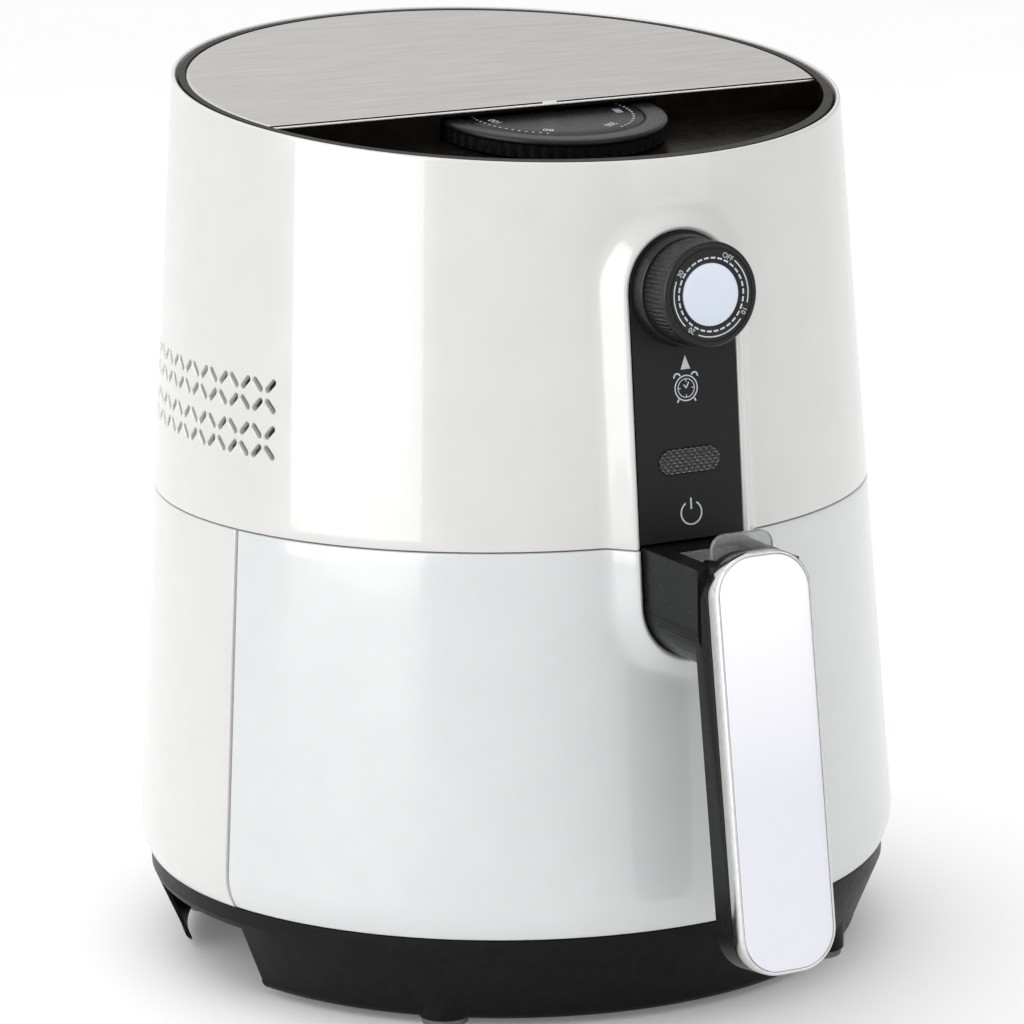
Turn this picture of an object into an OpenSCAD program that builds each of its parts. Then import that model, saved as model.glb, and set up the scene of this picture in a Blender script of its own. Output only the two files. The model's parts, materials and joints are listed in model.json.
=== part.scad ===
// Hot-air fryer: a drum-shaped housing with a pull-out basket drawer, a wind-up timer and a
// temperature dial. It stands on the plane z = 0 with the drum's axis on Z and its front towards -Y.
// All sizes are in millimetres and degrees.

/* [Housing] */
// Outside radius where the white shell starts
body_r = 136.4; // [115:0.1:170]
// Lean of the side from upright
body_taper = 4.1; // [2:0.1:6]
// Height of the black base
base_h = 34; // [30:1:42]
// Height of the drawer, from the base to the seam
drawer_h = 133; // [125:1:165]
// Height of the upper shell on the axis, from the seam to the rim
upper_h = 140.6; // [136:0.1:180]
// Slope of the top, lower at the front
top_tilt = 6.13; // [0:0.01:8]
// Wall of the plastic shells
shell_t = 2.5; // [2:0.1:3.5]
// How far the bottom edge of the white shell turns in
turn_in = 4.4; // [2:0.1:6]
// Height of that turned-in edge
turn_h = 13; // [8:1:20]

/* [Base and feet] */
// Height of the upright band at the top of the base
band_h = 5.3; // [3:0.1:8]
// Lean of the skirt below the band
skirt_lean = 23; // [15:1:30]
// Radius of the skirt's bottom edge
skirt_round = 4; // [2:0.5:6]
// Thickness of the base's floor
floor_t = 2.5; // [2:0.1:4]
// Where the side openings of the skirt start, from the front
open_from = 74; // [65:1:80]
// Where the side openings end
open_to = 104; // [95:1:115]
// Radius of a rubber foot
foot_r = 8; // [6:0.5:10]
// Height of a foot under the skirt
foot_h = 2.5; // [2:0.5:5]
// Direction of a front foot, from the front
foot_front = 40; // [30:1:60]
// Direction of a rear foot, from the front
foot_rear = 128; // [120:1:150]

/* [Top] */
// Width of the white rim round the top
rim_w = 1.5; // [1:0.1:3]
// Depth of the black deck's edge below the rim
deck_drop = 0.3; // [0.2:0.1:2]
// Width of the black ring round the plate
ring_w = 3.1; // [3:0.1:8]
// Thickness of the steel plate
plate_t = 1.2; // [0.8:0.1:2]
// Distance of the plate's straight edge in front of the axis
chord = 33.5; // [25:0.5:45]
// Depth of the recess in front of the plate
recess_h = 11.5; // [9:0.5:16]
// Thickness of the deck's floors and walls
deck_t = 2; // [1.5:0.1:3]

/* [Temperature dial] */
// Radius of the dial
dial_r = 40.5; // [34:0.5:49]
// Distance of the dial's axis in front of the drum's axis
dial_y = 35; // [30:1:45]
// Radius of the printed face let into the dial
dial_face_r = 32; // [26:0.5:34]
// Turn of the dial each way
dial_turn = 120; // [90:5:140]

/* [Control panel] */
// Half of the panel's width
panel_hw = 19.6; // [16:0.1:24]
// How far the panel's plane stands in front of the drum
panel_proud = 4.5; // [3:0.1:7]
// Thickness of the panel
panel_t = 2; // [1.5:0.1:3]
// Width of the shell's raised border round the panel
border_w = 3.5; // [2:0.1:6]
// Height of the timer knob's axis over the seam
knob_z = 85; // [75:1:100]
// Height of the panel's bottom edge over the seam
panel_z = 1.6; // [1.2:0.1:3]
// Width of the lamp's lens
lens_w = 23; // [16:0.5:28]
// Height of the lens
lens_h = 8.3; // [6:0.1:10]
// Distance of the lens below the knob's axis
lens_drop = 57; // [45:1:65]

/* [Timer knob] */
// Radius of the knob's face
knob_r = 17.8; // [14:0.1:22]
// Radius of the knob at the panel
knob_base_r = 19; // [15:0.1:23]
// Depth of the knob
knob_h = 19.5; // [14:0.5:26]
// Radius of the disc in the knob's face
cap_r = 10.45; // [8:0.05:13]
// Radius of the timer's and the thermostat's shafts
shaft_r = 3; // [2.5:0.1:4]

/* [Side vents] */
// Length of a slot
vent_l = 6; // [4:0.1:7]
// Width of a slot
vent_w = 2.2; // [1.5:0.1:3]
// Columns of slots on each side
vent_cols = 16; // [4:1:18]
// Distance between columns, round the shell
vent_pitch = 6.14; // [6:0.01:8]
// Direction of the first column, from the front
vent_from = 68; // [60:1:75]
// Heights of the rows over the seam
vent_rows = [28.4, 35.2, 44.2, 51];

/* [Drawer] */
// Half of the drawer front's sweep round the drum
front_half = 74.4; // [68:0.1:80]
// Upright gap beside the drawer front
side_gap = 1.5; // [0.8:0.1:3]
// Level gap between the drawer and the upper shell
seam_gap = 0.5; // [0.4:0.1:1.5]
// Travel of the drawer
drawer_travel = 250; // [150:5:280]
// Room between the shell and the cavity's wall at the seam
cavity_room = 15; // [13:0.5:22]
// Room between the pan's rim and the cavity's wall
pan_room = 2; // [1:0.5:4]
// Width of the pan's rim
pan_rim = 4; // [3:0.5:6]
// Room between the pan and the basket
basket_room = 6; // [5:0.5:10]
// Sheet thickness of the pan and the basket
sheet_t = 1.2; // [0.8:0.1:2]
// Height of the pan's floor over the base
pan_z = 8; // [6:0.5:14]
// Height of the pan
pan_h = 108; // [90:1:110]
// Height of the basket's floor over the pan's floor
basket_z = 12; // [8:0.5:16]

/* [Handle] */
// Half of the neck's width
neck_hw = 19.2; // [19:0.1:22]
// Height of the neck
neck_h = 38.5; // [34:0.5:44]
// Rounding of the neck's lower corners
neck_round = 18.5; // [10:0.5:19]
// Height of the neck's top over the seam
neck_up = 0.8; // [0:0.1:1]
// Distance of the handle's back from the drum at the neck's underside
grip_out = 37; // [30:0.5:45]
// Lean of the handle
grip_lean = 7.8; // [0:0.1:10]
// Length of the handle
grip_l = 140; // [120:1:150]
// Width of the handle
grip_w = 36.2; // [30:0.1:42]
// Rounding of the handle's corners
grip_round = 14; // [8:0.5:15]
// Height of the handle's top over the seam
grip_up = 4.5; // [4:0.5:12]
// Thickness of the black back of the handle
back_t = 10.5; // [8:0.5:14]
// Thickness of the silver bezel
bezel_t = 6; // [4:0.5:8]
// Border of the bezel round the pad
bezel_w = 1.3; // [1:0.1:4]
// Thickness of the pad
pad_t = 3; // [2:0.1:4]

/* [Release button] */
// Half of the pocket's width
pocket_hw = 12; // [9:0.5:13]
// Length of the pocket
pocket_l = 29; // [24:1:32]
// Depth of the pocket
pocket_h = 24; // [20:0.5:26]
// Travel of the button
button_travel = 3; // [2:0.1:4]
// Swing of the latch at the button's full travel
latch_swing = 10.5; // [8:0.5:14]
// Thickness of the clear cover
cover_t = 1.6; // [1.2:0.1:2]
// Height of the cover's lip over the seam
lip_up = 10.5; // [8:0.5:13]
// Travel of the cover
cover_travel = 15; // [10:1:16]

/* [Fan and heater] */
// Radius of the motor
motor_r = 32; // [25:1:40]
// Height of the motor
motor_h = 32; // [24:1:40]
// Radius of the hot-air impeller
impeller_r = 70; // [55:1:75]
// Radius of the cooling fan
fan_r = 60; // [45:1:64]
// Radius of the motor's shaft
axle_r = 4; // [3:0.1:5]
// Height of the heating chamber
chamber_h = 36; // [32:1:44]
// Radius of the heater's tube
coil_r = 3.3; // [2.5:0.1:4.5]
// Radii of the heater's turns
coil_turns = [48, 72];
// Width of the outlet at the back
grille_w = 84; // [60:1:90]
// Height of the outlet
grille_h = 44; // [30:1:48]
// Radius of the cord's gland in the shell
gland_r = 7; // [5:0.5:9]
// Radius of the cord's bore
cord_r = 3.6; // [2.5:0.1:4.5]

/* [Fits] */
// Room between fixed pieces that fit round each other
fit = 0.3; // [0.2:0.05:0.4]
// Radial room of a shaft in its bore
run_fit = 0.05; // [0.02:0.01:0.09]
// Radius of a screw's shank
screw_r = 1.5; // [1.2:0.1:2]

/* [Hidden] */
$fn = 96;
far = 400;
seam = base_h + drawer_h;
rim = seam + upper_h;

// Outside of the white shell at height z.
function turned(z) = z < base_h + turn_h ? turn_in * pow(1 - (z - base_h) / turn_h, 2) : 0;
function shell_r(z) = body_r - (z - base_h) * tan(body_taper) - turned(z);
// Heights at which a shell wall between z0 and z1 has a point.
function turn_z(k) = base_h + k * turn_h / 6;
function levels(z0, z1) = [for (k = [0:5]) if (turn_z(k) > z0 + 0.1 && turn_z(k) < z1) turn_z(k)];
function wall_levels(z0, z1) = concat([z0], levels(z0, z1), [z1]);

base_r = body_r - turn_in;
drawer_top = seam - seam_gap / 2;
upper_bottom = seam + seam_gap / 2;
skirt_bottom_r = base_r - (base_h - band_h - foot_h - skirt_round) * tan(skirt_lean) - skirt_round;
foot_at = skirt_bottom_r - 3;
floor_z = base_h - floor_t;
flange_w = 17.5;
flange_from = 95;

cavity_r = shell_r(seam) - cavity_room;
cavity_t = 1.5;
cavity_front = 36;
pan_rim_r = cavity_r - cavity_t - pan_room;
pan_r = pan_rim_r - pan_rim;
pan_bottom = base_h + pan_z;
pan_top = pan_bottom + pan_h;
basket_r = pan_r - sheet_t - basket_room;
basket_bottom = pan_bottom + basket_z;
basket_top = pan_top - 4;
liner_r = pan_rim_r + 6;
liner_t = 2;
liner_top = seam - 7;
liner_bottom = base_h + 4;
lug_at = 24;
lug_turn = 8;
strip_hw = 15;
strip_t = 1.5;
strip_z = liner_top + fit;
switch_z = pan_top - 0.8;
plate_z = upper_bottom + 0.05;
chassis_t = 2.5;
chassis_top = plate_z + chassis_t;
chamber_r = pan_r + 1;
chamber_top = chassis_top + chamber_h;
shield_z = chamber_top + 3;
shield_t = 1.5;
fan_z = shield_z + shield_t + 3;
fan_h = 8;
motor_z = fan_z + fan_h + 6;
impeller_h = 10;
impeller_z = chamber_top - 6 - impeller_h;
coil_z = chassis_top + 12;
guard_z = chassis_top + 2;
leg_r = fan_r + 10;
grille_z = seam + 34;
gland_z = seam + 17;
gland_in = 8;
gland_gap = (gland_r + 5) * tan(body_taper) + 0.4;
coil_leg_r = max(coil_turns[1] + 2 * coil_r + 1, impeller_r + coil_r + 3);

rim_r = shell_r(rim) - 0.8;
plate_r = rim_r - rim_w - ring_w;
deck_h = recess_h + deck_t;
plate_low = deck_drop + plate_t;
shelf_low = plate_low + 1.2;
dial_top = shelf_low + 0.6;
dial_h = recess_h - dial_top - 0.6;
pocket_r = dial_r + 1.5;

knob_at = seam + knob_z;
panel_y = shell_r(knob_at) + panel_proud;
panel_drop = (knob_z - panel_z) / cos(body_taper);
panel_seat = panel_t + fit;
web_t = 2;
boss_depth = panel_proud + 0.9 * shell_t;
timer_w = 40;
timer_front = 12;
timer_back = 38;
knob_skirt = 5.3;

neck_top = seam + neck_up;
neck_y = shell_r(neck_top) + panel_proud;
neck_back = liner_r + liner_t + 1;
root_top = drawer_top - 0.1;
grip_back_z = neck_top - neck_h + 8;
grip_y = shell_r(neck_top - neck_h / 2) + grip_out;
grip_top = (seam + grip_up - grip_back_z) / cos(grip_lean);
grip_foot = grip_l - grip_top;
pocket_back = neck_y + 7.5;
pocket_front = pocket_back + pocket_l;
button_top = neck_top - 5;
button_l = 17;
button_front = pocket_front - 8;
pivot_y = pocket_back - 1.5;
pivot_z = neck_top - 19;
stem_y = pivot_y + 18;
pin_r = 1.5;
pin_l = 2 * pocket_hw + 7;
cover_z = root_top - cover_t - 0.1;
cover_l = pocket_front - pocket_back - 5;
cover_hw = pocket_hw + 1.2;

// ---- Helpers ----

// A cone-sided wall of thickness t whose outside is inset from the shell's outside.
module shell_wall(z0, z1, t = shell_t, inset = 0, from = 0, sweep = 360)
    rotate(from - 90)
        rotate_extrude(angle = sweep)
            polygon(concat(
                [for (z = wall_levels(z0, z1)) [shell_r(z) - inset, z]],
                [for (k = [len(wall_levels(z0, z1)) - 1:-1:0])
                    [shell_r(wall_levels(z0, z1)[k]) - inset - t, wall_levels(z0, z1)[k]]]));

// The whole inside of the shell between two heights, drawn in by inset.
module shell_core(z0, z1, inset)
    rotate_extrude()
        polygon(concat([[0, z0]], [for (z = wall_levels(z0, z1)) [shell_r(z) - inset, z]], [[0, z1]]));

module tube(r, t, h) difference() {
    cylinder(r = r, h = h);
    translate([0, 0, -1]) cylinder(r = r - t, h = h + 2);
}

// A sector of a ring, from the direction "from" and over "sweep", both measured from the front.
module arc_wall(r, t, z0, z1, from, sweep)
    rotate(from - 90)
        rotate_extrude(angle = sweep)
            translate([r - t, z0]) square([t, z1 - z0]);

// Frame of the sloping top: the drum's axis crosses it at the origin.
module at_rim(drop = 0)
    translate([0, 0, rim]) rotate([top_tilt, 0, 0]) translate([0, 0, -drop]) children();

// Frame of the panel: x across, y up the panel and z out of it, with the knob's axis at the origin.
module at_panel()
    translate([0, -panel_y, knob_at]) rotate([90 - body_taper, 0, 0]) children();

// Frame of the handle: x across, y up the handle and z towards the front, at the back of the grip.
module at_grip()
    translate([0, -grip_y, grip_back_z]) rotate([90 - grip_lean, 0, 0]) children();

// Middle of the handle's back.
module at_grip_middle(out = 0) at_grip() translate([0, (grip_top - grip_foot) / 2, out]) children();

// Frame of the cord's gland: z points out of the back.
module at_gland() translate([0, shell_r(gland_z), gland_z]) rotate([-90, 0, 0]) children();

// Places a piece at a direction round the drum, with x pointing outwards.
module at_side(direction, r = 0) rotate(direction - 90) translate([r, 0, 0]) children();

module rounded_rect(w, h, r) {
    for (sx = [-1, 1], sy = [-1, 1]) translate([sx * (w / 2 - r), sy * (h / 2 - r)]) circle(r);
    square([w - 2 * r, h], center = true);
    square([w, h - 2 * r], center = true);
}

module stadium(l, w) {
    square([l - w, w], center = true);
    for (s = [-1, 1]) translate([s * (l - w) / 2, 0]) circle(w / 2);
}

module panel_outline(grow = 0, drop = panel_drop) {
    circle(panel_hw + grow);
    translate([-panel_hw - grow, -drop]) square([2 * (panel_hw + grow), drop]);
}

// Cross-section of the neck: a flat top and rounded lower corners.
module neck_outline(grow = 0) {
    w = neck_hw + grow;
    r = neck_round + grow;
    for (s = [-1, 1]) translate([s * (w - r), r - neck_h - grow]) circle(r);
    translate([r - w, -neck_h - grow]) square([2 * (w - r), r]);
    translate([-w, r - neck_h - grow]) square([2 * w, neck_h + grow - r]);
}

module neck_bar(y0, y1, grow = 0)
    translate([0, -y0, neck_top]) rotate([90, 0, 0]) linear_extrude(y1 - y0) neck_outline(grow);

module screw(l, head_r = 3.2, head_h = 1.8) {
    cylinder(r = screw_r, h = l);
    translate([0, 0, l]) cylinder(r = head_r, h = head_h);
}

module blades(count, r0, r1, h, t, lean) {
    for (k = [0:count - 1])
        rotate(k * 360 / count)
            translate([r0, 0, 0]) rotate([lean, 0, 0]) translate([0, -t / 2, 0]) cube([r1 - r0, t, h]);
}

// ---- Housing ----

module skirt_shape(inset) {
    z0 = foot_h;
    r0 = skirt_bottom_r;
    polygon(concat(
        [[base_r - inset, base_h], [base_r - inset, base_h - band_h]],
        [for (a = [0:15:90]) [r0 + skirt_round * cos(a) - inset, z0 + skirt_round * (1 - sin(a))]],
        [[r0 - 4, z0], [0, z0], [0, base_h]]));
}

module skirt_openings() {
    for (s = [-1, 1])
        at_side(s > 0 ? open_from : -open_to)
            rotate_extrude(angle = open_to - open_from)
                translate([foot_at - 12, -1]) square([60, base_h - band_h - 1]);
}

module foot_spots() {
    for (direction = [-foot_rear, -foot_front, foot_front, foot_rear]) at_side(direction, foot_at) children();
}

module base_tray() color("#26272a") {
    difference() {
        union() {
            difference() {
                rotate_extrude() skirt_shape(0);
                translate([0, 0, -floor_t]) rotate_extrude() skirt_shape(shell_t);
                translate([0, 0, foot_h - 1]) cylinder(r = skirt_bottom_r - shell_t, h = 4);
            }
            foot_spots() translate([0, 0, foot_h]) cylinder(r = foot_r + 1, h = floor_z - foot_h + 0.5);
        }
        skirt_openings();
        foot_spots() translate([0, 0, foot_h - 1]) cylinder(r = foot_r - 3, h = 5);
        screw_spots() translate([0, 0, floor_z - 1]) cylinder(r = screw_r + fit / 3, h = floor_t + 2);
        for (k = [-3:3]) translate([k * 14 - 3, -45, floor_z - 1]) cube([6, 90, floor_t + 2]);
    }
}

module feet() color("#6d6f70") foot_spots() {
    cylinder(r = foot_r, h = foot_h);
    cylinder(r = foot_r - 3 - run_fit, h = foot_h + 3.5);
}

module screw_spots() {
    for (direction = [-150, -115, 115, 150]) at_side(direction, base_r - 13) children();
}

module lower_shell() color("white") {
    gap = side_gap / shell_r(seam) * 180 / PI;
    shell_wall(base_h, drawer_top, from = front_half + gap, sweep = 360 - 2 * (front_half + gap));
    difference() {
        union() {
            shell_wall(base_h, base_h + 3, flange_w, 1, flange_from, 360 - 2 * flange_from);
            screw_spots() translate([0, 0, base_h]) cylinder(r = 4, h = 26);
        }
        screw_spots() translate([0, 0, base_h - 1]) cylinder(r = screw_r + run_fit, h = 20);
    }
}

module vent_slots() {
    for (s = [-1, 1], row = [0:3], col = [0:vent_cols - 1]) {
        z = seam + vent_rows[row];
        turn = vent_from + col * vent_pitch / shell_r(z) * 180 / PI;
        at_side(s * turn, shell_r(z) - 6) translate([0, 0, z])
            rotate([0, 90, 0]) rotate(((row + col) % 2 == 0 ? -45 : 45) * s)
                translate([-vent_l / 2, -vent_w / 2, 0]) cube([vent_l, vent_w, 12]);
    }
}

module panel_boss() intersection() {
    at_panel() translate([0, 0, -9]) linear_extrude(9) panel_outline(border_w, panel_drop + 20);
    translate([-far, -far, upper_bottom]) cube([2 * far, 2 * far, far]);
}

module panel_pocket() at_panel() {
    translate([0, 0, -panel_seat]) linear_extrude(20) panel_outline(fit / 2, panel_drop + 20);
    translate([0, 0, -14]) linear_extrude(14 - panel_seat - web_t) panel_outline(0, panel_drop - 1);
    translate([0, 0, -12]) cylinder(r = shaft_r + 3, h = 12);
    translate([0, -lens_drop, -12]) linear_extrude(12) stadium(lens_w - 4, lens_h - 3);
}

module grille_opening(grow = 0)
    translate([-grille_w / 2 - grow, 0, grille_z - grow])
        cube([grille_w + 2 * grow, far, grille_h + 2 * grow]);

module upper_shell() color("white") difference() {
    union() {
        shell_wall(upper_bottom, rim + 30);
        panel_boss();
    }
    at_rim() translate([-far, -far, 0]) cube([2 * far, 2 * far, far]);
    panel_pocket();
    vent_slots();
    grille_opening();
    at_gland() translate([0, 0, -gland_in]) cylinder(r = gland_r + fit, h = 3 * gland_in);
}

module exhaust_grille() color("#2b2c2e") {
    difference() {
        intersection() {
            shell_wall(grille_z - 8, grille_z + grille_h + 8, 2, shell_t + fit);
            grille_opening(5);
        }
        for (k = [0:6])
            translate([-grille_w / 2 + 4, 0, grille_z + 3 + k * 5.6]) cube([grille_w - 8, far, 3]);
    }
}

module cavity_liner() color("#8d9092") difference() {
    translate([0, 0, base_h]) difference() {
        union() {
            cylinder(r = cavity_r, h = plate_z - base_h);
            translate([-cavity_r, -cavity_front, 0]) cube([2 * cavity_r, cavity_front, plate_z - base_h]);
        }
        translate([0, 0, -1]) cylinder(r = cavity_r - cavity_t, h = far);
        translate([cavity_t - cavity_r, -far, -1]) cube([2 * (cavity_r - cavity_t), far, far]);
        translate([-far, -2 * far, -1]) cube([2 * far, 2 * far - cavity_front, far]);
    }
    translate([0, cavity_r - 10, switch_z]) rotate([-90, 0, 0]) cylinder(r = 3, h = 20);
}

module chassis_plate() color("#a3a6a8") difference() {
    shell_core(plate_z, chassis_top, shell_t + fit);
    translate([0, 0, plate_z - 1]) cylinder(r = chamber_r - 4, h = chassis_t + 2);
    at_panel() translate([0, 0, -16]) linear_extrude(40) panel_outline(border_w + fit, panel_drop + 20);
}

module chamber_liner() color("#b9bcbe") difference() {
    union() {
        translate([0, 0, chassis_top]) cylinder(r = chamber_r + 6, h = 1);
        translate([0, 0, chassis_top]) cylinder(r = chamber_r, h = chamber_h);
    }
    translate([0, 0, chassis_top - 1]) cylinder(r = chamber_r - 1, h = chamber_h);
    translate([0, 0, chamber_top - 2]) cylinder(r = axle_r + 2, h = 4);
    coil_legs(1.2);
}

module element_guard() color("#c9cbcc") {
    for (r = [24, 50, 76]) translate([0, 0, guard_z]) tube(r, 2.4, 2);
    translate([0, 0, guard_z]) tube(chamber_r - 1.3, 2.4, 2);
    for (k = [0:5]) rotate(k * 60) translate([22, -1, guard_z + 0.4]) cube([chamber_r - 24.6, 2, 1.2]);
}

module coil_legs(grow = 0) {
    for (a = [-60, 60]) rotate(a) translate([coil_leg_r, 0, coil_z - 2])
        cylinder(r = coil_r - 0.4 + grow, h = fan_z + 2 - coil_z);
}

module heater_coil() color("#5b5653") {
    for (r = coil_turns)
        translate([0, 0, coil_z]) rotate_extrude() translate([r, 0]) circle(coil_r, $fn = 32);
    coil_legs();
    for (a = [-60, 60]) rotate(a)
        translate([coil_turns[1] + coil_r - 1, -2, coil_z - 0.6])
            cube([coil_leg_r - coil_turns[1] - coil_r + 1, 4, 1.2]);
    for (a = [90, 180, 270]) rotate(a)
        translate([coil_turns[0] + coil_r - 1, -3, coil_z - 0.6])
            cube([coil_turns[1] - coil_turns[0] - 2 * coil_r + 2, 6, 1.2]);
}

module heat_shield() color("#c2c5c7") difference() {
    translate([0, 0, shield_z]) cylinder(r = chamber_r + 4, h = shield_t);
    translate([0, 0, shield_z - 1]) cylinder(r = axle_r + 2, h = shield_t + 2);
    coil_legs(1.2);
}

module motor_bracket() color("#9a9da0") {
    for (a = [45:90:315]) rotate(a) {
        translate([leg_r, 0, chamber_top]) cylinder(r = 3, h = shield_z - chamber_top);
        translate([leg_r, 0, shield_z + shield_t]) cylinder(r = 3, h = motor_z - shield_z - shield_t - 2);
        translate([motor_r - 6, -5, motor_z - 2]) cube([leg_r + 4 - motor_r + 6, 10, 2]);
    }
    translate([0, 0, motor_z - 2]) tube(motor_r + 2, 12, 2);
}

module motor() color("#77797b") difference() {
    union() {
        translate([0, 0, motor_z]) cylinder(r = motor_r, h = motor_h - 4);
        translate([0, 0, motor_z + motor_h - 4]) cylinder(r = motor_r / 2, h = 4);
    }
    translate([0, 0, motor_z - 1]) cylinder(r = axle_r + run_fit, h = motor_h + 2);
}

module front_half_space(edge) translate([-far, -far - edge, -far]) cube([2 * far, far, 2 * far]);
module rear_half_space(edge) translate([-far, -edge, -far]) cube([2 * far, far + edge, 2 * far]);

module top_deck() color("#1c1d1f") {
    difference() {
        intersection() {
            shell_core(rim - 60, rim + 30, rim_w + fit + 0.8);
            at_rim(deck_h) translate([-far, -far, 0]) cube([2 * far, 2 * far, deck_h - deck_drop]);
        }
        at_rim() {
            intersection() {
                translate([0, 0, -plate_low]) cylinder(r = plate_r + fit, h = 20);
                rear_half_space(chord);
            }
            intersection() {
                translate([0, 0, -recess_h]) cylinder(r = plate_r + fit, h = 20);
                front_half_space(chord + 0.5);
            }
            difference() {
                intersection() {
                    translate([0, 0, -deck_h - 1]) cylinder(r = plate_r - 2, h = deck_h + 1 - shelf_low);
                    rear_half_space(chord - 2.5);
                }
                translate([0, -dial_y, -deck_h - 2]) cylinder(r = pocket_r + deck_t, h = 20);
            }
            translate([0, -dial_y, -recess_h]) cylinder(r = pocket_r, h = recess_h - shelf_low);
            translate([0, -dial_y, -deck_h - 1]) cylinder(r = shaft_r + run_fit, h = 20);
        }
    }
}

module top_plate() color("#c8c6c2") at_rim(plate_low) intersection() {
    cylinder(r = plate_r, h = plate_t);
    rear_half_space(chord);
}

module thermostat() color("#d8d4c8") at_rim(deck_h) translate([0, -dial_y, 0]) difference() {
    union() {
        translate([-16, -12, -19]) cube([32, 24, 15]);
        translate([0, 0, -4]) cylinder(r = 6, h = 4);
    }
    translate([0, 0, -12]) cylinder(r = shaft_r + run_fit, h = 20);
}

module control_panel() color("#222325") at_panel() difference() {
    translate([0, 0, -panel_t]) linear_extrude(panel_t) panel_outline();
    translate([0, 0, -10]) cylinder(r = shaft_r + run_fit, h = 20);
    translate([0, -lens_drop, -10]) linear_extrude(20) stadium(lens_w + 0.2, lens_h + 0.2);
}

module timer_body() color("#cfc9b8") at_panel() difference() {
    union() {
        translate([-timer_w / 2, -timer_w / 2, -timer_back])
            cube([timer_w, timer_w, timer_back - timer_front]);
        translate([0, 0, -timer_front - 1]) cylinder(r = shaft_r + 2.5, h = timer_front + 1 - panel_seat);
    }
    translate([0, 0, -24]) cylinder(r = shaft_r + run_fit, h = 30);
}

module indicator_lens() color([0.75, 0.75, 0.75, 0.6]) at_panel() {
    translate([0, -lens_drop, -panel_t]) linear_extrude(panel_t + 0.6) stadium(lens_w, lens_h);
}

module indicator_lamp() color("orange") at_panel() translate([0, -lens_drop, -14]) {
    cylinder(r = 2.4, h = 11.5);
    translate([-6, -2.4, 0]) cube([12, 4.8, 5]);
}

module cord_gland() color("#2a2b2c") at_gland() difference() {
    union() {
        translate([0, 0, gland_gap]) cylinder(r = gland_r + 2, h = 8);
        translate([0, 0, gland_gap]) cylinder(r = gland_r + 5, h = 2.5);
        translate([0, 0, -gland_in]) cylinder(r = gland_r, h = gland_in + gland_gap + 1);
    }
    translate([0, 0, -20]) cylinder(r = cord_r, h = 40);
}

module terminal_block() color("#dedbd0") translate([-22, 62, shield_z + shield_t]) difference() {
    cube([44, 16, 14]);
    for (k = [0:3]) translate([6 + k * 10.6, 8, 6]) cylinder(r = 2, h = 20);
}

module drawer_switch() color("#3a3b3d") {
    translate([-9, cavity_r + 0.4, switch_z - 9]) cube([18, 7, 18]);
    translate([0, pan_rim_r + fit, switch_z]) rotate([-90, 0, 0])
        cylinder(r = 2, h = cavity_r + 0.4 - pan_rim_r - fit);
}

module drawer_guides() color("#b3b5b6") {
    for (s = [-1, 1]) translate([s * 58 - 3, -60, base_h]) cube([6, 125, pan_z - fit]);
}

module housing_screws() color("#b8babc") screw_spots()
    translate([0, 0, floor_z + 15]) mirror([0, 0, 1]) screw(15);

// ---- Drawer ----

module screw_holes(r) {
    for (s = [-1, 1], z = [pan_bottom + 30, pan_top - 22])
        at_side(s * lug_at, pan_r - 2) translate([0, 0, z]) rotate([0, 90, 0]) cylinder(r = r, h = 25);
}

module pan() color("#33353a") difference() {
    union() {
        translate([0, 0, pan_bottom]) cylinder(r = pan_r, h = pan_h);
        translate([0, 0, pan_top - 1.5]) cylinder(r = pan_rim_r, h = 1.5);
        for (s = [-1, 1])
            arc_wall(liner_r, liner_r - pan_r + 0.6, pan_bottom + 20, pan_top - 12,
                s * lug_at - lug_turn / 2, lug_turn);
    }
    translate([0, 0, pan_bottom + sheet_t]) cylinder(r = pan_r - sheet_t, h = pan_h);
    difference() {
        screw_holes(screw_r + run_fit);
        cylinder(r = pan_r + 0.8, h = far);
    }
}

module drawer_front() color("white") {
    difference() {
        union() {
            shell_wall(base_h + 0.4, neck_top + 2, from = -front_half, sweep = 2 * front_half);
            translate([0, -neck_y, neck_top]) rotate([90 - body_taper, 0, 0])
                translate([0, 0, -boss_depth]) linear_extrude(boss_depth) neck_outline(border_w);
        }
        translate([-far, -far, drawer_top]) cube([2 * far, 2 * far, far]);
        neck_bar(neck_back - 5, neck_y + 10, fit);
    }
}

module drawer_liner() color("#d5d7d8") difference() {
    half = front_half - 5;
    union() {
        arc_wall(liner_r + liner_t, liner_t, liner_bottom, liner_top, -half, 2 * half);
        for (z = [liner_bottom, liner_top - liner_t])
            rotate(-half - 90) rotate_extrude(angle = 2 * half) polygon([
                [liner_r, z], [shell_r(z) - shell_t - fit, z],
                [shell_r(z + liner_t) - shell_t - fit, z + liner_t], [liner_r, z + liner_t]]);
    }
    neck_bar(liner_r + liner_t + 0.05, neck_y + 10, border_w + fit);
    screw_holes(screw_r + run_fit);
    latch_window(6.5);
}

module latch_window(hw)
    translate([-hw, -pocket_back - 1, pivot_z - 5]) cube([2 * hw, pocket_back + 1 - liner_r + 8, 14.5]);

module pan_screws() color("#b8babc") {
    for (s = [-1, 1], z = [pan_bottom + 30, pan_top - 22])
        at_side(s * lug_at, pan_r + 1) translate([0, 0, z]) rotate([0, 90, 0])
            screw(liner_r + liner_t + 0.05 - pan_r - 1);
}

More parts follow.
